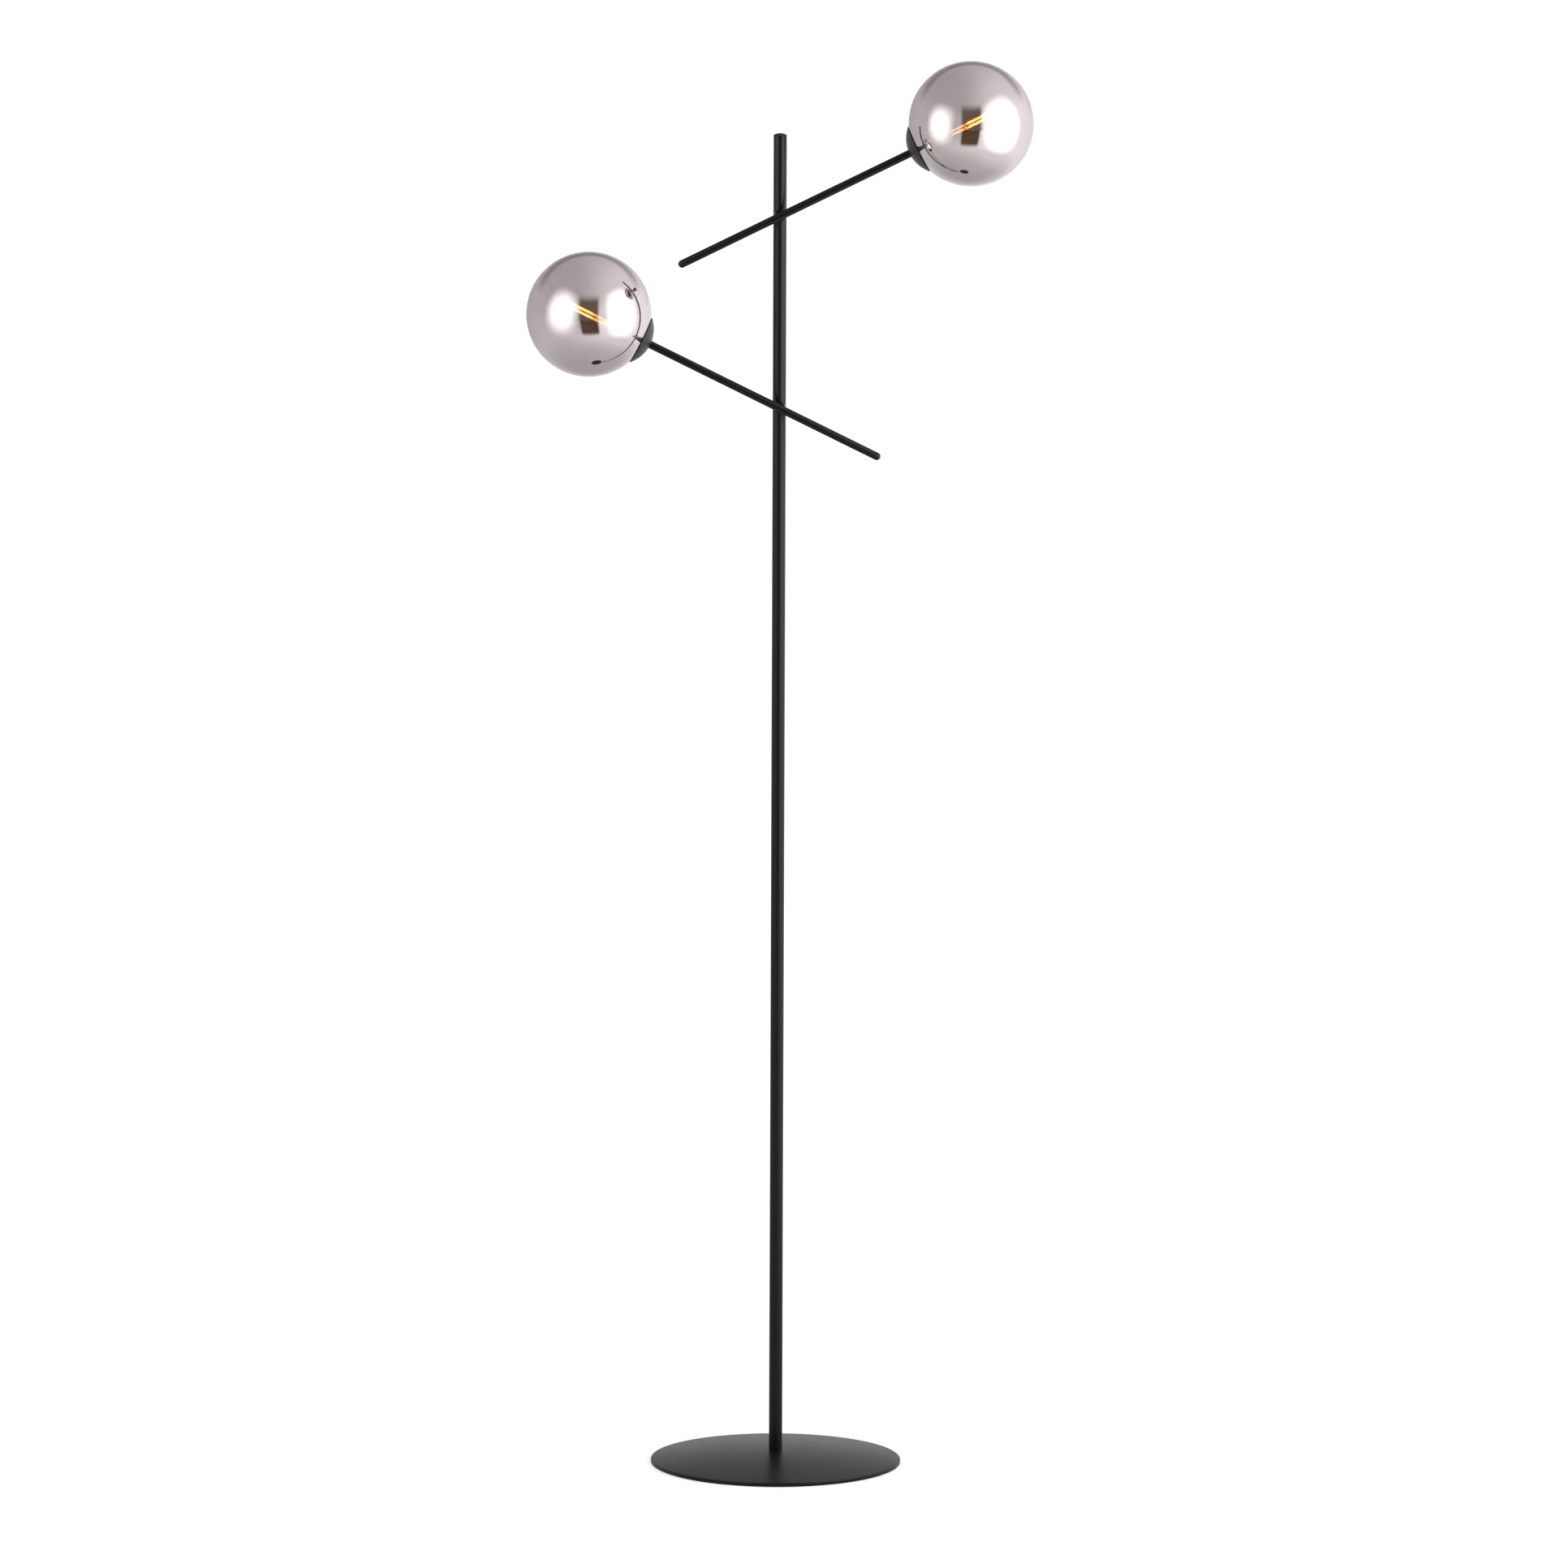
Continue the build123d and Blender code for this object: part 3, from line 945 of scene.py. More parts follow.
@dataclass
class Pole(SubAssembly):
    """Tube with its cap and the bush for the cord."""

    radius: float = POLE_RADIUS
    bore: float = 6.8
    foot: float = 17.5
    top: float = 1617.5
    tube_round: float = 0.25
    cap_edge: float = 0.8
    cap_rise: float = 2.2
    cap_runs: int = 14
    cap_spigot: float = 10.0
    spigot_round: float = 0.4
    shoulder_round: float = 0.2
    cap_round: float = 0.5
    cord_height: float = 60.0
    cord_hole: float = 4.0
    bush_bore: float = 2.8
    bush_collar: float = 5.5
    bush_front: float = 9.2
    bush_back: float = 4.6
    bush_edges: Span = (0.5, 0.7)
    neck_inset: float = 0.6

    def build(self, bench: Bench) -> None:
        """Model the tube, the cap and the bush.

        Args:
            bench: the modelling tools.
        """
        heights = [self.cord_height] + [place.height for place in reversed(ArmPlace)]
        rings = [height + side * HOLE_MARGIN for height in heights for side in (-1.0, 1.0)]
        corners: list[Corner] = [
            (self.foot, self.bore),
            (self.foot, self.radius, self.tube_round),
            *((height, self.radius) for height in rings),
            (self.top, self.radius, self.tube_round),
            (self.top, self.bore),
            *((height, self.bore) for height in reversed(rings)),
        ]
        tube = bench.turned("pole", Turn.UPRIGHT, corners, POLE_SEGMENTS)
        outside = 2.0 * self.radius
        holes = [(place.height, STUD_HOLE, -outside) for place in ArmPlace]
        holes.append((self.cord_height, self.cord_hole, 0.0))
        for height, hole, start in holes:
            drill = bench.rod(Turn.ACROSS, hole, start, outside, HOLE_SEGMENTS)
            bench.trim(tube, bench.shift(drill, (0.0, 0.0, height)), Trim.CUT)
        self.add(tube, STAND, "black_coat", "pole_tube")
        self.add(self.cap(bench), STAND, "black_coat", "pole_cap")
        self.add(self.bush(bench), STAND, "black_rubber", "cord_grommet")

    def cap(self, bench: Bench) -> Thing:
        """Low domed cap with a round shoulder and a spigot in the bore.

        Args:
            bench: the modelling tools.

        Returns:
            The new piece.
        """
        edge = self.top + self.cap_edge
        spigot = self.bore - CLEARANCE
        spigot_end = self.top - self.cap_spigot
        corners: list[Corner] = [
            (spigot_end, 0.0),
            (spigot_end, spigot, self.spigot_round),
            (self.top, spigot),
            (self.top, self.radius, self.shoulder_round),
            (edge, self.radius, self.cap_round),
            *crown(edge, self.radius, self.cap_rise, self.cap_runs)[1:],
        ]
        return bench.turned("pole_top_cap", Turn.UPRIGHT, corners, POLE_SEGMENTS, closed=False)

    def bush(self, bench: Bench) -> Thing:
        """Soft bush with a rounded collar that beds on the pole.

        Args:
            bench: the modelling tools.

        Returns:
            The new piece.
        """
        corners = band(0.0, self.bush_front, self.bush_bore, self.bush_collar, last=self.bush_edges)
        collar = bench.turned("cord_bush", Turn.ACROSS, corners)
        bench.bed(collar, 2.0 * self.bush_collar)
        neck_front = self.bush_front - self.neck_inset
        corners = band(self.bush_back, neck_front, self.bush_bore, self.cord_hole - CLEARANCE)
        bench.trim(collar, bench.turned("neck", Turn.ACROSS, corners), Trim.JOIN)
        return bench.shift(collar, (0.0, 0.0, self.cord_height))


# Arms and what they carry, in millimetres

@dataclass
class Swivel:
    """Friction swivel between the pole and an arm."""

    radius: float = 7.0
    saddle_face: float = 9.2
    saddle_edges: Span = (0.2, 0.45)
    washer_back: float = 9.3
    washer_edges: Span = (0.15, 0.2)
    boss_back: float = 9.9
    boss_front: float = 15.3
    boss_back_edges: Span = (0.2, 0.4)
    boss_front_edges: Span = (0.0, 0.5)
    spring_outer: float = 6.45
    spring_low: float = 9.3
    spring_rise: float = 0.6
    spring_thickness: float = 0.6
    spring_edges: Span = (0.1, 0.15)
    nut_start: float = 10.5
    nut_width: float = 13.0
    nut_height: float = 5.5
    nut_dome: float = 6.0
    nut_dome_rise: float = 5.0
    nut_dome_root: float = 1.0
    nut_dome_runs: int = 18
    nut_thread: float = 7.5

    def saddle(self, bench: Bench, name: str) -> Thing:
        """Round washer whose back beds on the pole.

        Args:
            bench: the modelling tools.
            name: name of the new object.

        Returns:
            The new piece.
        """
        corners = band(0.0, -self.saddle_face, STUD_HOLE, self.radius, last=self.saddle_edges)
        block = bench.turned(name, Turn.ACROSS, corners)
        return bench.bed(block, 2.0 * self.radius)

    def friction_washer(self, bench: Bench) -> Thing:
        """Thin washer with softened edges.

        Args:
            bench: the modelling tools.

        Returns:
            The new piece.
        """
        edges = self.washer_edges
        corners = band(-self.washer_back, -self.boss_back, STUD_HOLE, self.radius, edges, edges)
        return bench.turned("friction_washer", Turn.ACROSS, corners)

    def boss(self, bench: Bench) -> Thing:
        """Round boss with a cradle for the arm.

        Args:
            bench: the modelling tools.

        Returns:
            The new piece.
        """
        back, front = self.boss_back_edges, self.boss_front_edges
        corners = band(-self.boss_back, -self.boss_front, STUD_HOLE, self.radius, back, front)
        block = bench.turned("arm_boss", Turn.ACROSS, corners)
        outside = 3.0 * self.radius
        bar = bench.rod(Turn.ALONG, ARM_RADIUS + CLEARANCE, -outside, outside)
        return bench.trim(block, bench.shift(bar, ARM_ASIDE), Trim.CUT)

    def disc_spring(self, bench: Bench) -> Thing:
        """Conical spring washer.

        Args:
            bench: the modelling tools.

        Returns:
            The new piece.
        """
        low = self.spring_low
        high = low + self.spring_rise
        hole_round, rim_round = self.spring_edges
        corners: list[Corner] = [
            (high, STUD_HOLE, hole_round),
            (low, self.spring_outer, rim_round),
            (low + self.spring_thickness, self.spring_outer, rim_round),
            (high + self.spring_thickness, STUD_HOLE, hole_round),
        ]
        return bench.turned("disc_spring", Turn.ACROSS, corners)

    def cap_nut(self, bench: Bench) -> Thing:
        """Hexagon nut with chamfered corners and a closed dome.

        Args:
            bench: the modelling tools.

        Returns:
            The new piece.
        """
        nut = bench.hexagon("cap_nut", self.nut_width, self.nut_start, self.nut_height)
        shoulder = self.nut_start + self.nut_height
        root = shoulder - self.nut_dome_root
        corners: list[Corner] = [
            (root, 0.0),
            (root, self.nut_dome),
            *crown(shoulder, self.nut_dome, self.nut_dome_rise, self.nut_dome_runs),
        ]
        bench.trim(nut, bench.turned("dome", Turn.ACROSS, corners, closed=False), Trim.JOIN)
        thread = bench.rod(Turn.ACROSS, STUD_HOLE, 0.0, self.nut_start + self.nut_thread, HOLE_SEGMENTS)
        return bench.trim(nut, thread, Trim.CUT)


@dataclass
class Arm:
    """Straight tube with a round-nosed plug at its tail."""

    radius: float = ARM_RADIUS
    bore: float = 3.5
    tail: float = 135.0
    reach: float = ARM_REACH
    tail_round: float = 0.15
    head_round: float = 0.3
    thread_length: float = 12.3
    lead_hole: float = 2.75
    lead_hole_segments: int = 40
    nose_end: float = 92.0
    nose_runs: int = 20
    nose_round: float = 0.12
    plug_spigot: float = 8.0
    spigot_round: float = 0.4

    @property
    def tube_end(self) -> float:
        """Where the tube ends at its tail and the plug's nose begins."""
        return self.radius - self.tail

    def tube(self, bench: Bench) -> Thing:
        """Arm tube with softened ends and a hole for the lead.

        Args:
            bench: the modelling tools.

        Returns:
            The new piece.
        """
        thread_end = self.reach - self.thread_length
        corners: list[Corner] = [
            (self.tube_end, self.bore),
            (self.tube_end, self.radius, self.tail_round),
            (-HOLE_MARGIN, self.radius),
            (HOLE_MARGIN, self.radius),
            (self.reach, self.radius, self.head_round),
            (self.reach, NIPPLE_HOLE),
            (thread_end, NIPPLE_HOLE),
            (thread_end, self.bore),
            (HOLE_MARGIN, self.bore),
            (-HOLE_MARGIN, self.bore),
        ]
        tube = bench.turned("arm_tube", Turn.ALONG, corners)
        drill = bench.rod(Turn.ACROSS, self.lead_hole, 0.0, 2.0 * self.radius, self.lead_hole_segments)
        return bench.shift(bench.trim(tube, drill, Trim.CUT), ARM_ASIDE)

    def plug(self, bench: Bench) -> Thing:
        """Round nose and the spigot that holds it.

        Args:
            bench: the modelling tools.

        Returns:
            The new piece.
        """
        spigot = self.bore - CLEARANCE
        spigot_end = self.tube_end + self.plug_spigot
        corners: list[Corner] = [
            *arc((self.tube_end, 0.0), self.radius, 180.0, self.nose_end, self.nose_runs),
            (self.tube_end, self.radius, self.nose_round),
            (self.tube_end, spigot),
            (spigot_end, spigot, self.spigot_round),
            (spigot_end, 0.0),
        ]
        return bench.on_arm("arm_end_plug", corners, closed=False)


@dataclass
class Cup:
    """Spun dish that the globe sits in."""

    back: float = ARM_REACH
    depth: float = 12.0
    radius: float = 30.0
    wall: float = 1.2
    flat_radius: float = 7.0
    flat_round: float = 1.0
    rim_round: float = 0.4
    runs: int = 24
    segments: int = 160

    def bowl(self, flat: float, rim_radius: float) -> list[Corner]:
        """Points on the round side of the dish, from its flat to its rim.

        Args:
            flat: where the flat of the dish is along the arm.
            rim_radius: radius at the rim.

        Returns:
            The points, the last one at the rim.
        """
        rim = self.back + self.depth
        middle = (rim + flat) / 2.0
        centre = middle + (rim_radius ** 2 - self.flat_radius ** 2) / (2.0 * (rim - flat))
        sphere = math.hypot(rim_radius, centre - rim)
        start = math.degrees(math.atan2(self.flat_radius, flat - centre))
        end = math.degrees(math.atan2(rim_radius, rim - centre))
        return arc((centre, 0.0), sphere, start, end, self.runs)

    def dish(self, bench: Bench, paints: Paintbox) -> Thing:
        """Dish with a softened rim and a coat of its own, the black coat painted paler to stand in for the
        sheen that light gives it.

        Args:
            bench: the modelling tools.
            paints: the materials.

        Returns:
            The new piece, with its finish.
        """
        inner_flat = self.back + self.wall
        outside = self.bowl(self.back, self.radius)
        inside = self.bowl(inner_flat, self.radius - self.wall)
        corners: list[Corner] = [
            (self.back, NIPPLE_HOLE),
            (*outside[0], self.flat_round),
            *outside[1:-1],
            (*outside[-1], self.rim_round),
            (*inside[-1], self.rim_round),
            *inside[-2::-1],
            (inner_flat, NIPPLE_HOLE),
        ]
        dish = bench.on_arm("cup", corners, self.segments)
        # Painted sheen: a paler copy of the black coat stands in for the light that the cup catches
        paints.coat(dish, "cup_painted_sheen_coat")
        return dish


@dataclass
class Lampholder:
    """Moulded body with a thread for the globe's ring, a neck and a cavity for the bulb."""

    back: float = 178.2
    back_round: float = 0.5
    thread_length: float = 22.0
    thread_depth: float = 0.7
    pitch: float = 2.75
    first_ridge: float = 1.2
    flank: float = 0.8
    crest: float = 0.5
    ridge_round: float = 0.3
    runout: float = 1.0
    neck_radius: float = 12.5
    neck_length: float = 14.0
    neck_round: float = 0.8
    cavity_radius: float = 7.4
    cavity_start: float = 190.2
    cavity_round: float = 0.5
    lead_hole: float = 2.0
    nipple_depth: float = 7.0

    def ridges(self, root: float) -> list[Corner]:
        """Corners of the thread's ridges.

        Args:
            root: radius between the ridges.

        Returns:
            Four corners for each ridge, from the back to the front.
        """
        shape = (
            (0.0, root),
            (self.flank, HOLDER_THREAD),
            (self.flank + self.crest, HOLDER_THREAD),
            (2.0 * self.flank + self.crest, root),
        )
        corners: list[Corner] = []
        for ridge in range(int(self.thread_length / self.pitch) - 1):
            start = self.back + self.first_ridge + ridge * self.pitch
            corners += [(start + along, radius, self.ridge_round) for along, radius in shape]
        return corners

    def body(self, bench: Bench) -> Thing:
        """Threaded body, bored for the nipple and the lead.

        Args:
            bench: the modelling tools.

        Returns:
            The new piece.
        """
        root = HOLDER_THREAD - self.thread_depth
        thread_end = self.back + self.thread_length
        front = thread_end + self.neck_length
        nipple_end = self.back + self.nipple_depth
        corners: list[Corner] = [
            (self.back, NIPPLE_HOLE),
            (self.back, root, self.back_round),
            *self.ridges(root),
            (thread_end - self.runout, root),
            (thread_end, self.neck_radius, self.ridge_round),
            (front, self.neck_radius, self.neck_round),
            (front, self.cavity_radius, self.cavity_round),
            (self.cavity_start, self.cavity_radius),
            (self.cavity_start, self.lead_hole),
            (nipple_end, self.lead_hole),
            (nipple_end, NIPPLE_HOLE),
        ]
        return bench.on_arm("lampholder_body", corners)


@dataclass
class Globe:
    """Blown glass ball and the flanged ring in its mouth."""

    centre: float = 254.55
    radius: float = 75.0
    wall: float = 1.8
    runs: int = 84
    segments: int = 192
    mouth_radius: float = 20.0
    mouth_round: float = 0.6
    ring_radius: float = 22.5
    ring_gap: float = 0.3
    ring_segments: int = 128
    flange_thickness: float = 1.2
    flange_edges: Span = (0.2, 0.4)
    sleeve_length: float = 9.0
    sleeve_edges: Span = (0.3, 0.5)

    def ring(self, bench: Bench) -> Thing:
        """Ring on the lampholder's thread, with a flange behind the glass and a sleeve in the mouth.

        Args:
            bench: the modelling tools.

        Returns:
            The new piece.
        """
        hole = HOLDER_THREAD + CLEARANCE
        mouth = self.centre - math.sqrt(self.radius ** 2 - self.mouth_radius ** 2)
        front = mouth - self.ring_gap
        edges = self.flange_edges
        flange = band(front - self.flange_thickness, front, hole, self.ring_radius, edges, edges)
        sleeve_radius = self.mouth_radius - self.ring_gap
        sleeve = band(front, front + self.sleeve_length, hole, sleeve_radius, last=self.sleeve_edges)
        return bench.on_arm("mouth_ring", flange[:3] + sleeve[1:], self.ring_segments)

    def ball(self, bench: Bench) -> Thing:
        """Glass ball with a fire-polished mouth.

        Args:
            bench: the modelling tools.

        Returns:
            The new piece.
        """
        sides: list[list[Corner]] = []
        for radius in (self.radius, self.radius - self.wall):
            lean = 180.0 - math.degrees(math.asin(self.mouth_radius / radius))
            side = arc((self.centre, 0.0), radius, 0.0, lean, self.runs)
            sides.append([*side[:-1], (*side[-1], self.mouth_round)])
        outline = sides[0] + sides[1][::-1]
        return bench.on_arm("glass_globe", outline, self.segments, closed=False)


@dataclass
class Bulb:
    """Tubular bulb with lit straight filaments round a stem."""

    foot: float = 213.0
    end: float = 306.0
    radius: float = 12.5
    wall: float = 0.7
    neck_radius: float = 6.9
    neck_length: float = 3.0
    neck_round: float = 4.0
    shoulder_length: float = 13.0
    shoulder_round: float = 9.0
    end_runs: int = 24
    stem_length: float = 26.0
    stem_foot: float = 5.0
    stem_foot_round: float = 0.6
    stem_waist: float = 3.4
    stem_waist_place: float = 6.0
    stem_taper: float = 4.0
    stem_round: float = 4.0
    stem_tip: float = 1.5
    stem_tip_round: float = 1.2
    stem_segments: int = 48
    rod_radius: float = 0.7
    rod_root: float = 8.0
    filament_start: float = 249.5
    filament_end: float = 291.5
    filament_radius: float = 0.9
    filament_circle: float = 3.4
    filament_count: int = 4
    tip_edges: Span = (0.0, 0.4)
    wire_radius: float = 0.4
    wire_segments: int = 16

    def envelope(self, bench: Bench) -> Thing:
        """Thin glass tube with a soft shoulder and a round end.

        Args:
            bench: the modelling tools.

        Returns:
            The new piece.
        """
        shoulder = self.foot + self.neck_length
        barrel = shoulder + self.shoulder_length
        end_centre = (self.end - self.radius, 0.0)
        sides: list[list[Corner]] = []
        for wall in (0.0, self.wall):
            radius = self.radius - wall
            neck = self.neck_radius - wall
            side = arc(end_centre, radius, 0.0, 90.0, self.end_runs)
            side += [(barrel, radius, self.shoulder_round), (shoulder, neck, self.neck_round)]
            sides.append(side + [(self.foot, neck)])
        return bench.on_arm("bulb_envelope", sides[0] + sides[1][::-1], closed=False)

    def stem(self, bench: Bench, paints: Paintbox) -> list[Thing]:
        """Glass stem and the support rod in its tip.

        Args:
            bench: the modelling tools.
            paints: the materials.

        Returns:
            The stem and the rod, each with its finish.
        """
        tip = self.foot + self.stem_length
        corners: list[Corner] = [
            (self.foot, 0.0),
            (self.foot, self.stem_foot, self.stem_foot_round),
            (self.foot + self.stem_waist_place, self.stem_waist, self.stem_round),
            (tip - self.stem_taper, self.stem_tip, self.stem_round),
            (tip, self.stem_tip, self.stem_tip_round),
            (tip, 0.0),
        ]
        stem = bench.turned("stem", Turn.ALONG, corners, self.stem_segments, closed=False)
        paints.coat(stem, "stem_glass")
        corners = band(tip - self.rod_root, self.filament_end, 0.0, self.rod_radius, last=self.tip_edges)
        rod = bench.turned("rod", Turn.ALONG, corners, WIRE_SEGMENTS, closed=False)
        paints.coat(rod, "support_wire")
        return [stem, rod]

    def spoke(self, bench: Bench, paints: Paintbox) -> list[Thing]:
        """One filament beside the rod and the two wires that hold it.

        Args:
            bench: the modelling tools.
            paints: the materials.

        Returns:
            The filament and the wires, each with its finish.
        """
        start, end = self.filament_start, self.filament_end
        corners = band(start, end, 0.0, self.filament_radius, self.tip_edges, self.tip_edges)
        bar = bench.turned("bar", Turn.ALONG, corners, WIRE_SEGMENTS, closed=False)
        paints.coat(bar, "filament")
        parts = [bench.shift(bar, (0.0, self.filament_circle, 0.0))]
        inner, outer = self.rod_radius / 2.0, self.filament_circle
        inset = 2.0 * self.wire_radius
        for along in (start + inset, end - inset):
            wire = bench.rod(Turn.ACROSS, self.wire_radius, inner, outer, self.wire_segments)
            paints.coat(wire, "support_wire")
            parts.append(bench.shift(wire, (along, 0.0, 0.0)))
        return parts

    def filaments(self, bench: Bench, paints: Paintbox) -> Thing:
        """Stem and rod with the filaments set evenly round them.

        Args:
            bench: the modelling tools.
            paints: the materials, which differ within this piece.

        Returns:
            One object with three materials.
        """
        parts = self.stem(bench, paints)
        spoke = self.spoke(bench, paints)
        for index in range(self.filament_count):
            turn = Matrix.Rotation((index + 0.5) * FULL_TURN / self.filament_count, 4, "X")
            parts += [bench.copy(part, "part", turn) for part in spoke]
        for part in spoke:
            bpy.data.objects.remove(part)
        return bench.shift(bench.weld_together("filament_cluster", parts), ARM_ASIDE)


@dataclass
class LampArm(SubAssembly):
    """One swivel arm with its head, modelled once and placed twice."""

    swivel: Swivel = field(default_factory=Swivel)
    arm: Arm = field(default_factory=Arm)
    cup: Cup = field(default_factory=Cup)
    holder: Lampholder = field(default_factory=Lampholder)
    globe: Globe = field(default_factory=Globe)
    bulb: Bulb = field(default_factory=Bulb)

    def build(self, bench: Bench, paints: Paintbox) -> None:
        """Model every piece of an arm and place a copy on each swivel.

        Args:
            bench: the modelling tools.
            paints: the materials.
        """
        swivel, arm, globe, bulb = self.swivel, self.arm, self.globe, self.bulb
        half_turn = Matrix.Rotation(math.pi, 4, "Z")
        rear_saddle = bench.settle(swivel.saddle(bench, "rear_saddle_washer"), half_turn)
        front_saddle = swivel.saddle(bench, "front_saddle_washer")
        fixed = [
            (front_saddle, "front_saddle", "black_coat"),
            (rear_saddle, "rear_saddle", "black_coat"),
        ]
        level = [
            (swivel.friction_washer(bench), "friction_washer", "nylon"),
            (swivel.disc_spring(bench), "disc_spring", "zinc_steel"),
            (swivel.cap_nut(bench), "cap_nut", "black_coat"),
        ]
        tilted = [
            (swivel.boss(bench), "arm_boss", "black_coat"),
            (arm.tube(bench), "arm_tube", "black_coat"),
            (arm.plug(bench), "arm_end_cap", "black_coat"),
            # The cup keeps the black coat slot but is painted with a paler copy of it that stands in for its
            # sheen
            (self.cup.dish(bench, paints), "cup", "black_coat"),
            (self.holder.body(bench), "lampholder", "black_plastic"),
            (globe.ring(bench), "globe_ring", "black_plastic"),
            (globe.ball(bench), "globe", "mirrored_glass"),
            (bulb.envelope(bench), "bulb_glass", "bulb_glass"),
            (bulb.filaments(bench, paints), "bulb_filaments", "filament"),
        ]
        for place in ArmPlace:
            groups = (
                (fixed, STAND, place.level()),
                (level, place.body, place.level()),
                (tilted, place.body, place.tilted()),
            )
            for masters, body, matrix in groups:
                for master, node, slot in masters:
                    name = f"{place.prefix}_{node}"
                    self.add(bench.copy(master, f"{name}_piece", matrix), body, slot, name)
        for master, *_ in fixed + level + tilted:
            bpy.data.objects.remove(master)


class InnerParts:
    """Inner nodes that keep the CAD mesh and only get a finish."""

    def dress(self, paints: Paintbox) -> None:
        """Paint every CAD node that is still shown by the slot in its record row.

        Args:
            paints: the materials.
        """
        rows = {row["node"]: row["material_slot"] for row in frame["record"]["subparts"]}
        for name, node in frame["nodes"].items():
            if not node.hide_render:
                paints.coat(node, rows[name])
                LOG.info("%s keeps its CAD mesh as %s", name, rows[name])


# Studio, in metres, apart from the lens and its sensor, which are in millimetres

@dataclass
class PhotoCamera:
    """Long lens in front of the lamp, a little above it."""

    distance: float = 40.0
    height: float = 8.2140
    aim_x: float = 0.0073
    aim_z: float = 0.8299
    lens: float = 779.03
    sensor: float = 36.0
    roll: float = 0.2103
    reach: float = 400.0

    def place(self) -> None:
        """Add the camera and make it the scene's own."""
        eye = Vector((self.aim_x, -self.distance, self.height))
        forward = (Vector((self.aim_x, 0.0, self.aim_z)) - eye).normalized()
        right = Vector((1.0, 0.0, 0.0))
        above = right.cross(forward)
        turn = math.radians(self.roll)
        across = right * math.cos(turn) + above * math.sin(turn)
        upward = above * math.cos(turn) - right * math.sin(turn)
        data = bpy.data.cameras.new("photo_camera")
        data.lens = self.lens
        data.sensor_width = self.sensor
        data.clip_end = self.reach
        camera = bpy.data.objects.new("photo_camera", data)
        axes = Matrix((across, upward, -forward)).transposed().to_4x4()
        camera.matrix_world = Matrix.Translation(eye) @ axes
        bpy.context.scene.collection.objects.link(camera)
        bpy.context.scene.camera = camera


@dataclass
class SoftBox:
    """Large soft lamp whose face dims towards its edges."""

    name: str
    centre: Place
    target: Place
    width: float
    height: float
    brightness: float
    edge: float

    def hang(self) -> None:
        """Add the lamp; its brightness is the luminance in the middle of its face."""
        data = bpy.data.lights.new(self.name, "AREA")
        data.shape = "RECTANGLE"
        data.size = self.width
        data.size_y = self.height
        data.energy = self.brightness * math.pi * self.width * self.height
        data.use_nodes = True
        wiring = Wiring(data.node_tree)
        face = wiring.split(data.node_tree.nodes.new("ShaderNodeNewGeometry").outputs["Parametric"])
        fades = []
        for axis in ("X", "Y"):
            fades.append(wiring.fade(face[axis], (0.0, self.edge), 0.0, 1.0))
            fades.append(wiring.fade(face[axis], (1.0 - self.edge, 1.0), 1.0, 0.0))
        emission = data.node_tree.nodes["Emission"]
        data.node_tree.links.new(wiring.product(*fades), emission.inputs["Strength"])
        box = bpy.data.objects.new(self.name, data)
        box.location = self.centre
        aim = Vector(self.target) - Vector(self.centre)
        box.rotation_euler = aim.to_track_quat("-Z", "Y").to_euler()
        box.visible_camera = False
        bpy.context.scene.collection.objects.link(box)


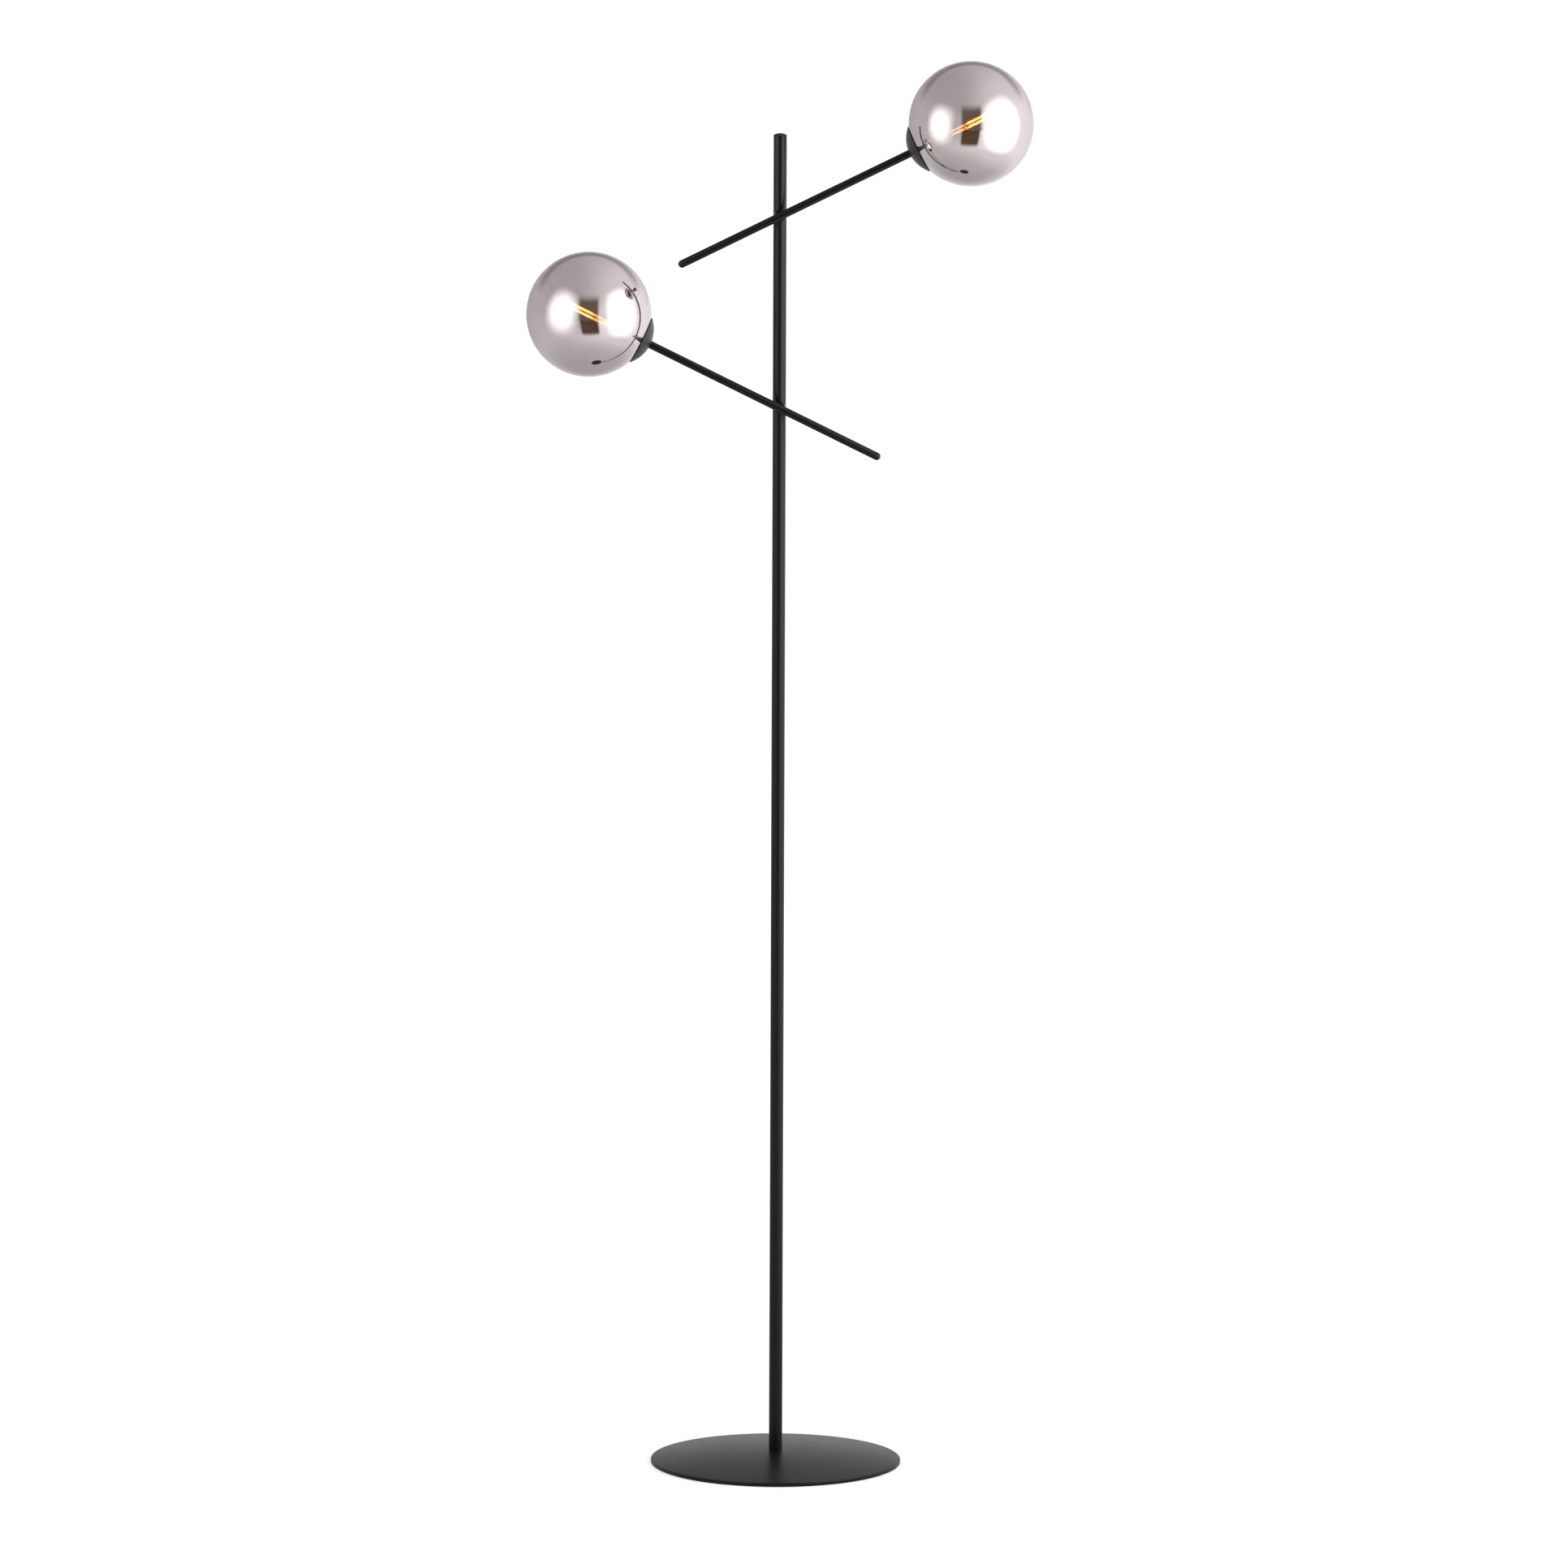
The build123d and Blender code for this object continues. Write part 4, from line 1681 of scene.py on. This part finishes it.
@dataclass
class Studio:
    """Pale floor, white tent with an opening for the camera, soft boxes and the camera."""

    floor_size: float = 60.0
    floor_drop: float = 0.0002
    floor_colour: Colour = (0.72, 0.72, 0.72)
    floor_roughness: float = 0.9
    near_glow: float = 0.64
    far_glow: float = 0.92
    glow_span: Span = (0.2, 1.6)
    near_mirror: float = 0.18
    mirror_span: Span = (0.5, 2.6)
    mirror_left: float = 0.40
    mirror_right: float = 1.00
    mirror_turn: Span = (-3.0, 3.0)
    fill_level: float = 0.30
    fill_colour: Colour = (1.0, 0.985, 0.97)
    tent_colour: Colour = (1.0, 0.975, 0.98)
    tent_left: float = 0.60
    tent_right: float = 1.25
    tent_turn: Span = (-0.4, 0.95)
    tent_top: float = 0.80
    top_fade: Span = (0.18, 0.62)
    tent_rear: float = 0.50
    rear_fade: Span = (0.25, 0.92)
    rear_rise: Span = (0.10, 0.40)
    rear_end: Span = (0.42, 0.66)
    gap_colour: Colour = (0.100, 0.067, 0.034)
    gap_side: Span = (0.24, 0.37)
    gap_top: Span = (0.50, 0.75)
    gap_front: Span = (-0.25, -0.05)
    gap_floor: Span = (-3.2, -2.1)
    camera: PhotoCamera = field(default_factory=PhotoCamera)
    boxes: tuple[SoftBox, ...] = (
        SoftBox("right_box", centre=(1.45, -0.76, 1.68), target=(0.0, 0.0, 1.60),
                width=2.8, height=3.5, brightness=2.3, edge=0.45),
        SoftBox("left_box", centre=(-1.25, -0.85, 1.70), target=(0.0, 0.0, 1.60),
                width=2.1, height=2.6, brightness=1.9, edge=0.50),
    )

    def build(self) -> None:
        """Set up everything round the lamp."""
        bpy.context.scene.view_settings.view_transform = "Standard"
        self.surround()
        self.floor()
        for box in self.boxes:
            box.hang()
        self.camera.place()

    def surround(self) -> None:
        """White background, which mirrors see as a graded tent that is open towards the camera."""
        world = bpy.data.worlds.new("studio")
        bpy.context.scene.world = world
        world.use_nodes = True
        tree = world.node_tree
        tree.nodes.clear()
        wiring = Wiring(tree)
        way = wiring.split(tree.nodes.new("ShaderNodeTexCoord").outputs["Generated"])
        gap = wiring.product(
            wiring.fade(wiring.sum_up(Sum.SIZE, way["X"]), self.gap_side, 1.0, 0.0),
            wiring.fade(way["Z"], self.gap_top, 1.0, 0.0),
            wiring.fade(way["Y"], self.gap_front, 1.0, 0.0),
        )
        rear = wiring.product(
            wiring.fade(way["Y"], self.rear_fade, 0.0, 1.0),
            wiring.fade(way["Z"], self.rear_rise, 0.0, 1.0),
            wiring.fade(way["Z"], self.rear_end, 1.0, 0.0),
        )
        level = wiring.product(
            wiring.fade(way["X"], self.tent_turn, self.tent_left, self.tent_right),
            wiring.fade(way["Z"], self.top_fade, 1.0, self.tent_top),
            wiring.fade(rear, (0.0, 1.0), 1.0, self.tent_rear),
        )
        tent = wiring.glow(self.tent_colour)
        tree.links.new(level, tent.inputs["Strength"])
        mirrored = wiring.mix(gap, tent, wiring.glow(self.gap_colour))
        fill = wiring.glow(self.fill_colour, self.fill_level)
        lit = wiring.mix(wiring.rays(Ray.MIRROR), fill, mirrored)
        final = wiring.mix(wiring.rays(Ray.CAMERA, Ray.GLASS), lit, wiring.glow(WHITE))
        output = tree.nodes.new("ShaderNodeOutputWorld")
        tree.links.new(final.outputs[0], output.inputs["Surface"])

    def floor(self) -> None:
        """Wide pale floor that keeps the lamp's shadow and ends for mirrors at the tent's opening."""
        bpy.ops.object.select_all(action="DESELECT")
        bpy.ops.mesh.primitive_plane_add(size=self.floor_size, location=(0.0, 0.0, -self.floor_drop))
        floor = bpy.context.object
        floor.name = "studio_floor"
        recipe = Recipe("studio_floor")
        recipe.set(Base_Color=(*self.floor_colour, 1.0), Roughness=self.floor_roughness)
        recipe.set(Specular_IOR_Level=0.0, Emission_Color=(*WHITE, 1.0))
        length = recipe.tree.nodes.new("ShaderNodeVectorMath")
        length.operation = "LENGTH"
        recipe.tree.links.new(recipe.place, length.inputs[0])
        reach = length.outputs["Value"]
        spot = recipe.split(recipe.place)
        glow = recipe.fade(reach, self.glow_span, self.near_glow, self.far_glow)
        seen = recipe.product(recipe.rays(Ray.CAMERA, Ray.GLASS), glow)
        mirrored = recipe.product(
            recipe.rays(Ray.MIRROR),
            recipe.fade(reach, self.mirror_span, self.near_mirror, 1.0),
            recipe.fade(spot["X"], self.mirror_turn, self.mirror_left, self.mirror_right),
        )
        recipe.join(recipe.sum_up(Sum.LARGER, seen, mirrored), "Emission Strength")
        aside = recipe.sum_up(Sum.SIZE, recipe.sum_up(Sum.RATIO, spot["X"], spot["Y"]))
        gap = recipe.product(
            recipe.rays(Ray.MIRROR),
            recipe.fade(spot["Y"], self.gap_floor, 1.0, 0.0),
            recipe.fade(aside, self.gap_side, 1.0, 0.0),
        )
        dark = recipe.tree.nodes.new("ShaderNodeEmission")
        dark.inputs["Color"].default_value = (*self.gap_colour, 1.0)
        output = recipe.tree.nodes["Material Output"]
        recipe.tree.links.new(recipe.mix(gap, recipe.shader, dark).outputs[0], output.inputs["Surface"])
        floor.data.materials.append(recipe.material)


def main() -> None:
    """Build the studio and the lamp."""
    logging.basicConfig(level=logging.INFO, format="%(name)s: %(message)s")
    bench = Bench()
    paints = Paintbox()
    Studio().build()
    base, pole, arms = Base(), Pole(), LampArm()
    base.build(bench)
    pole.build(bench)
    arms.build(bench, paints)
    for assembly in (base, pole, arms):
        assembly.dress(paints)
    InnerParts().dress(paints)


if __name__ == "__main__":
    main()
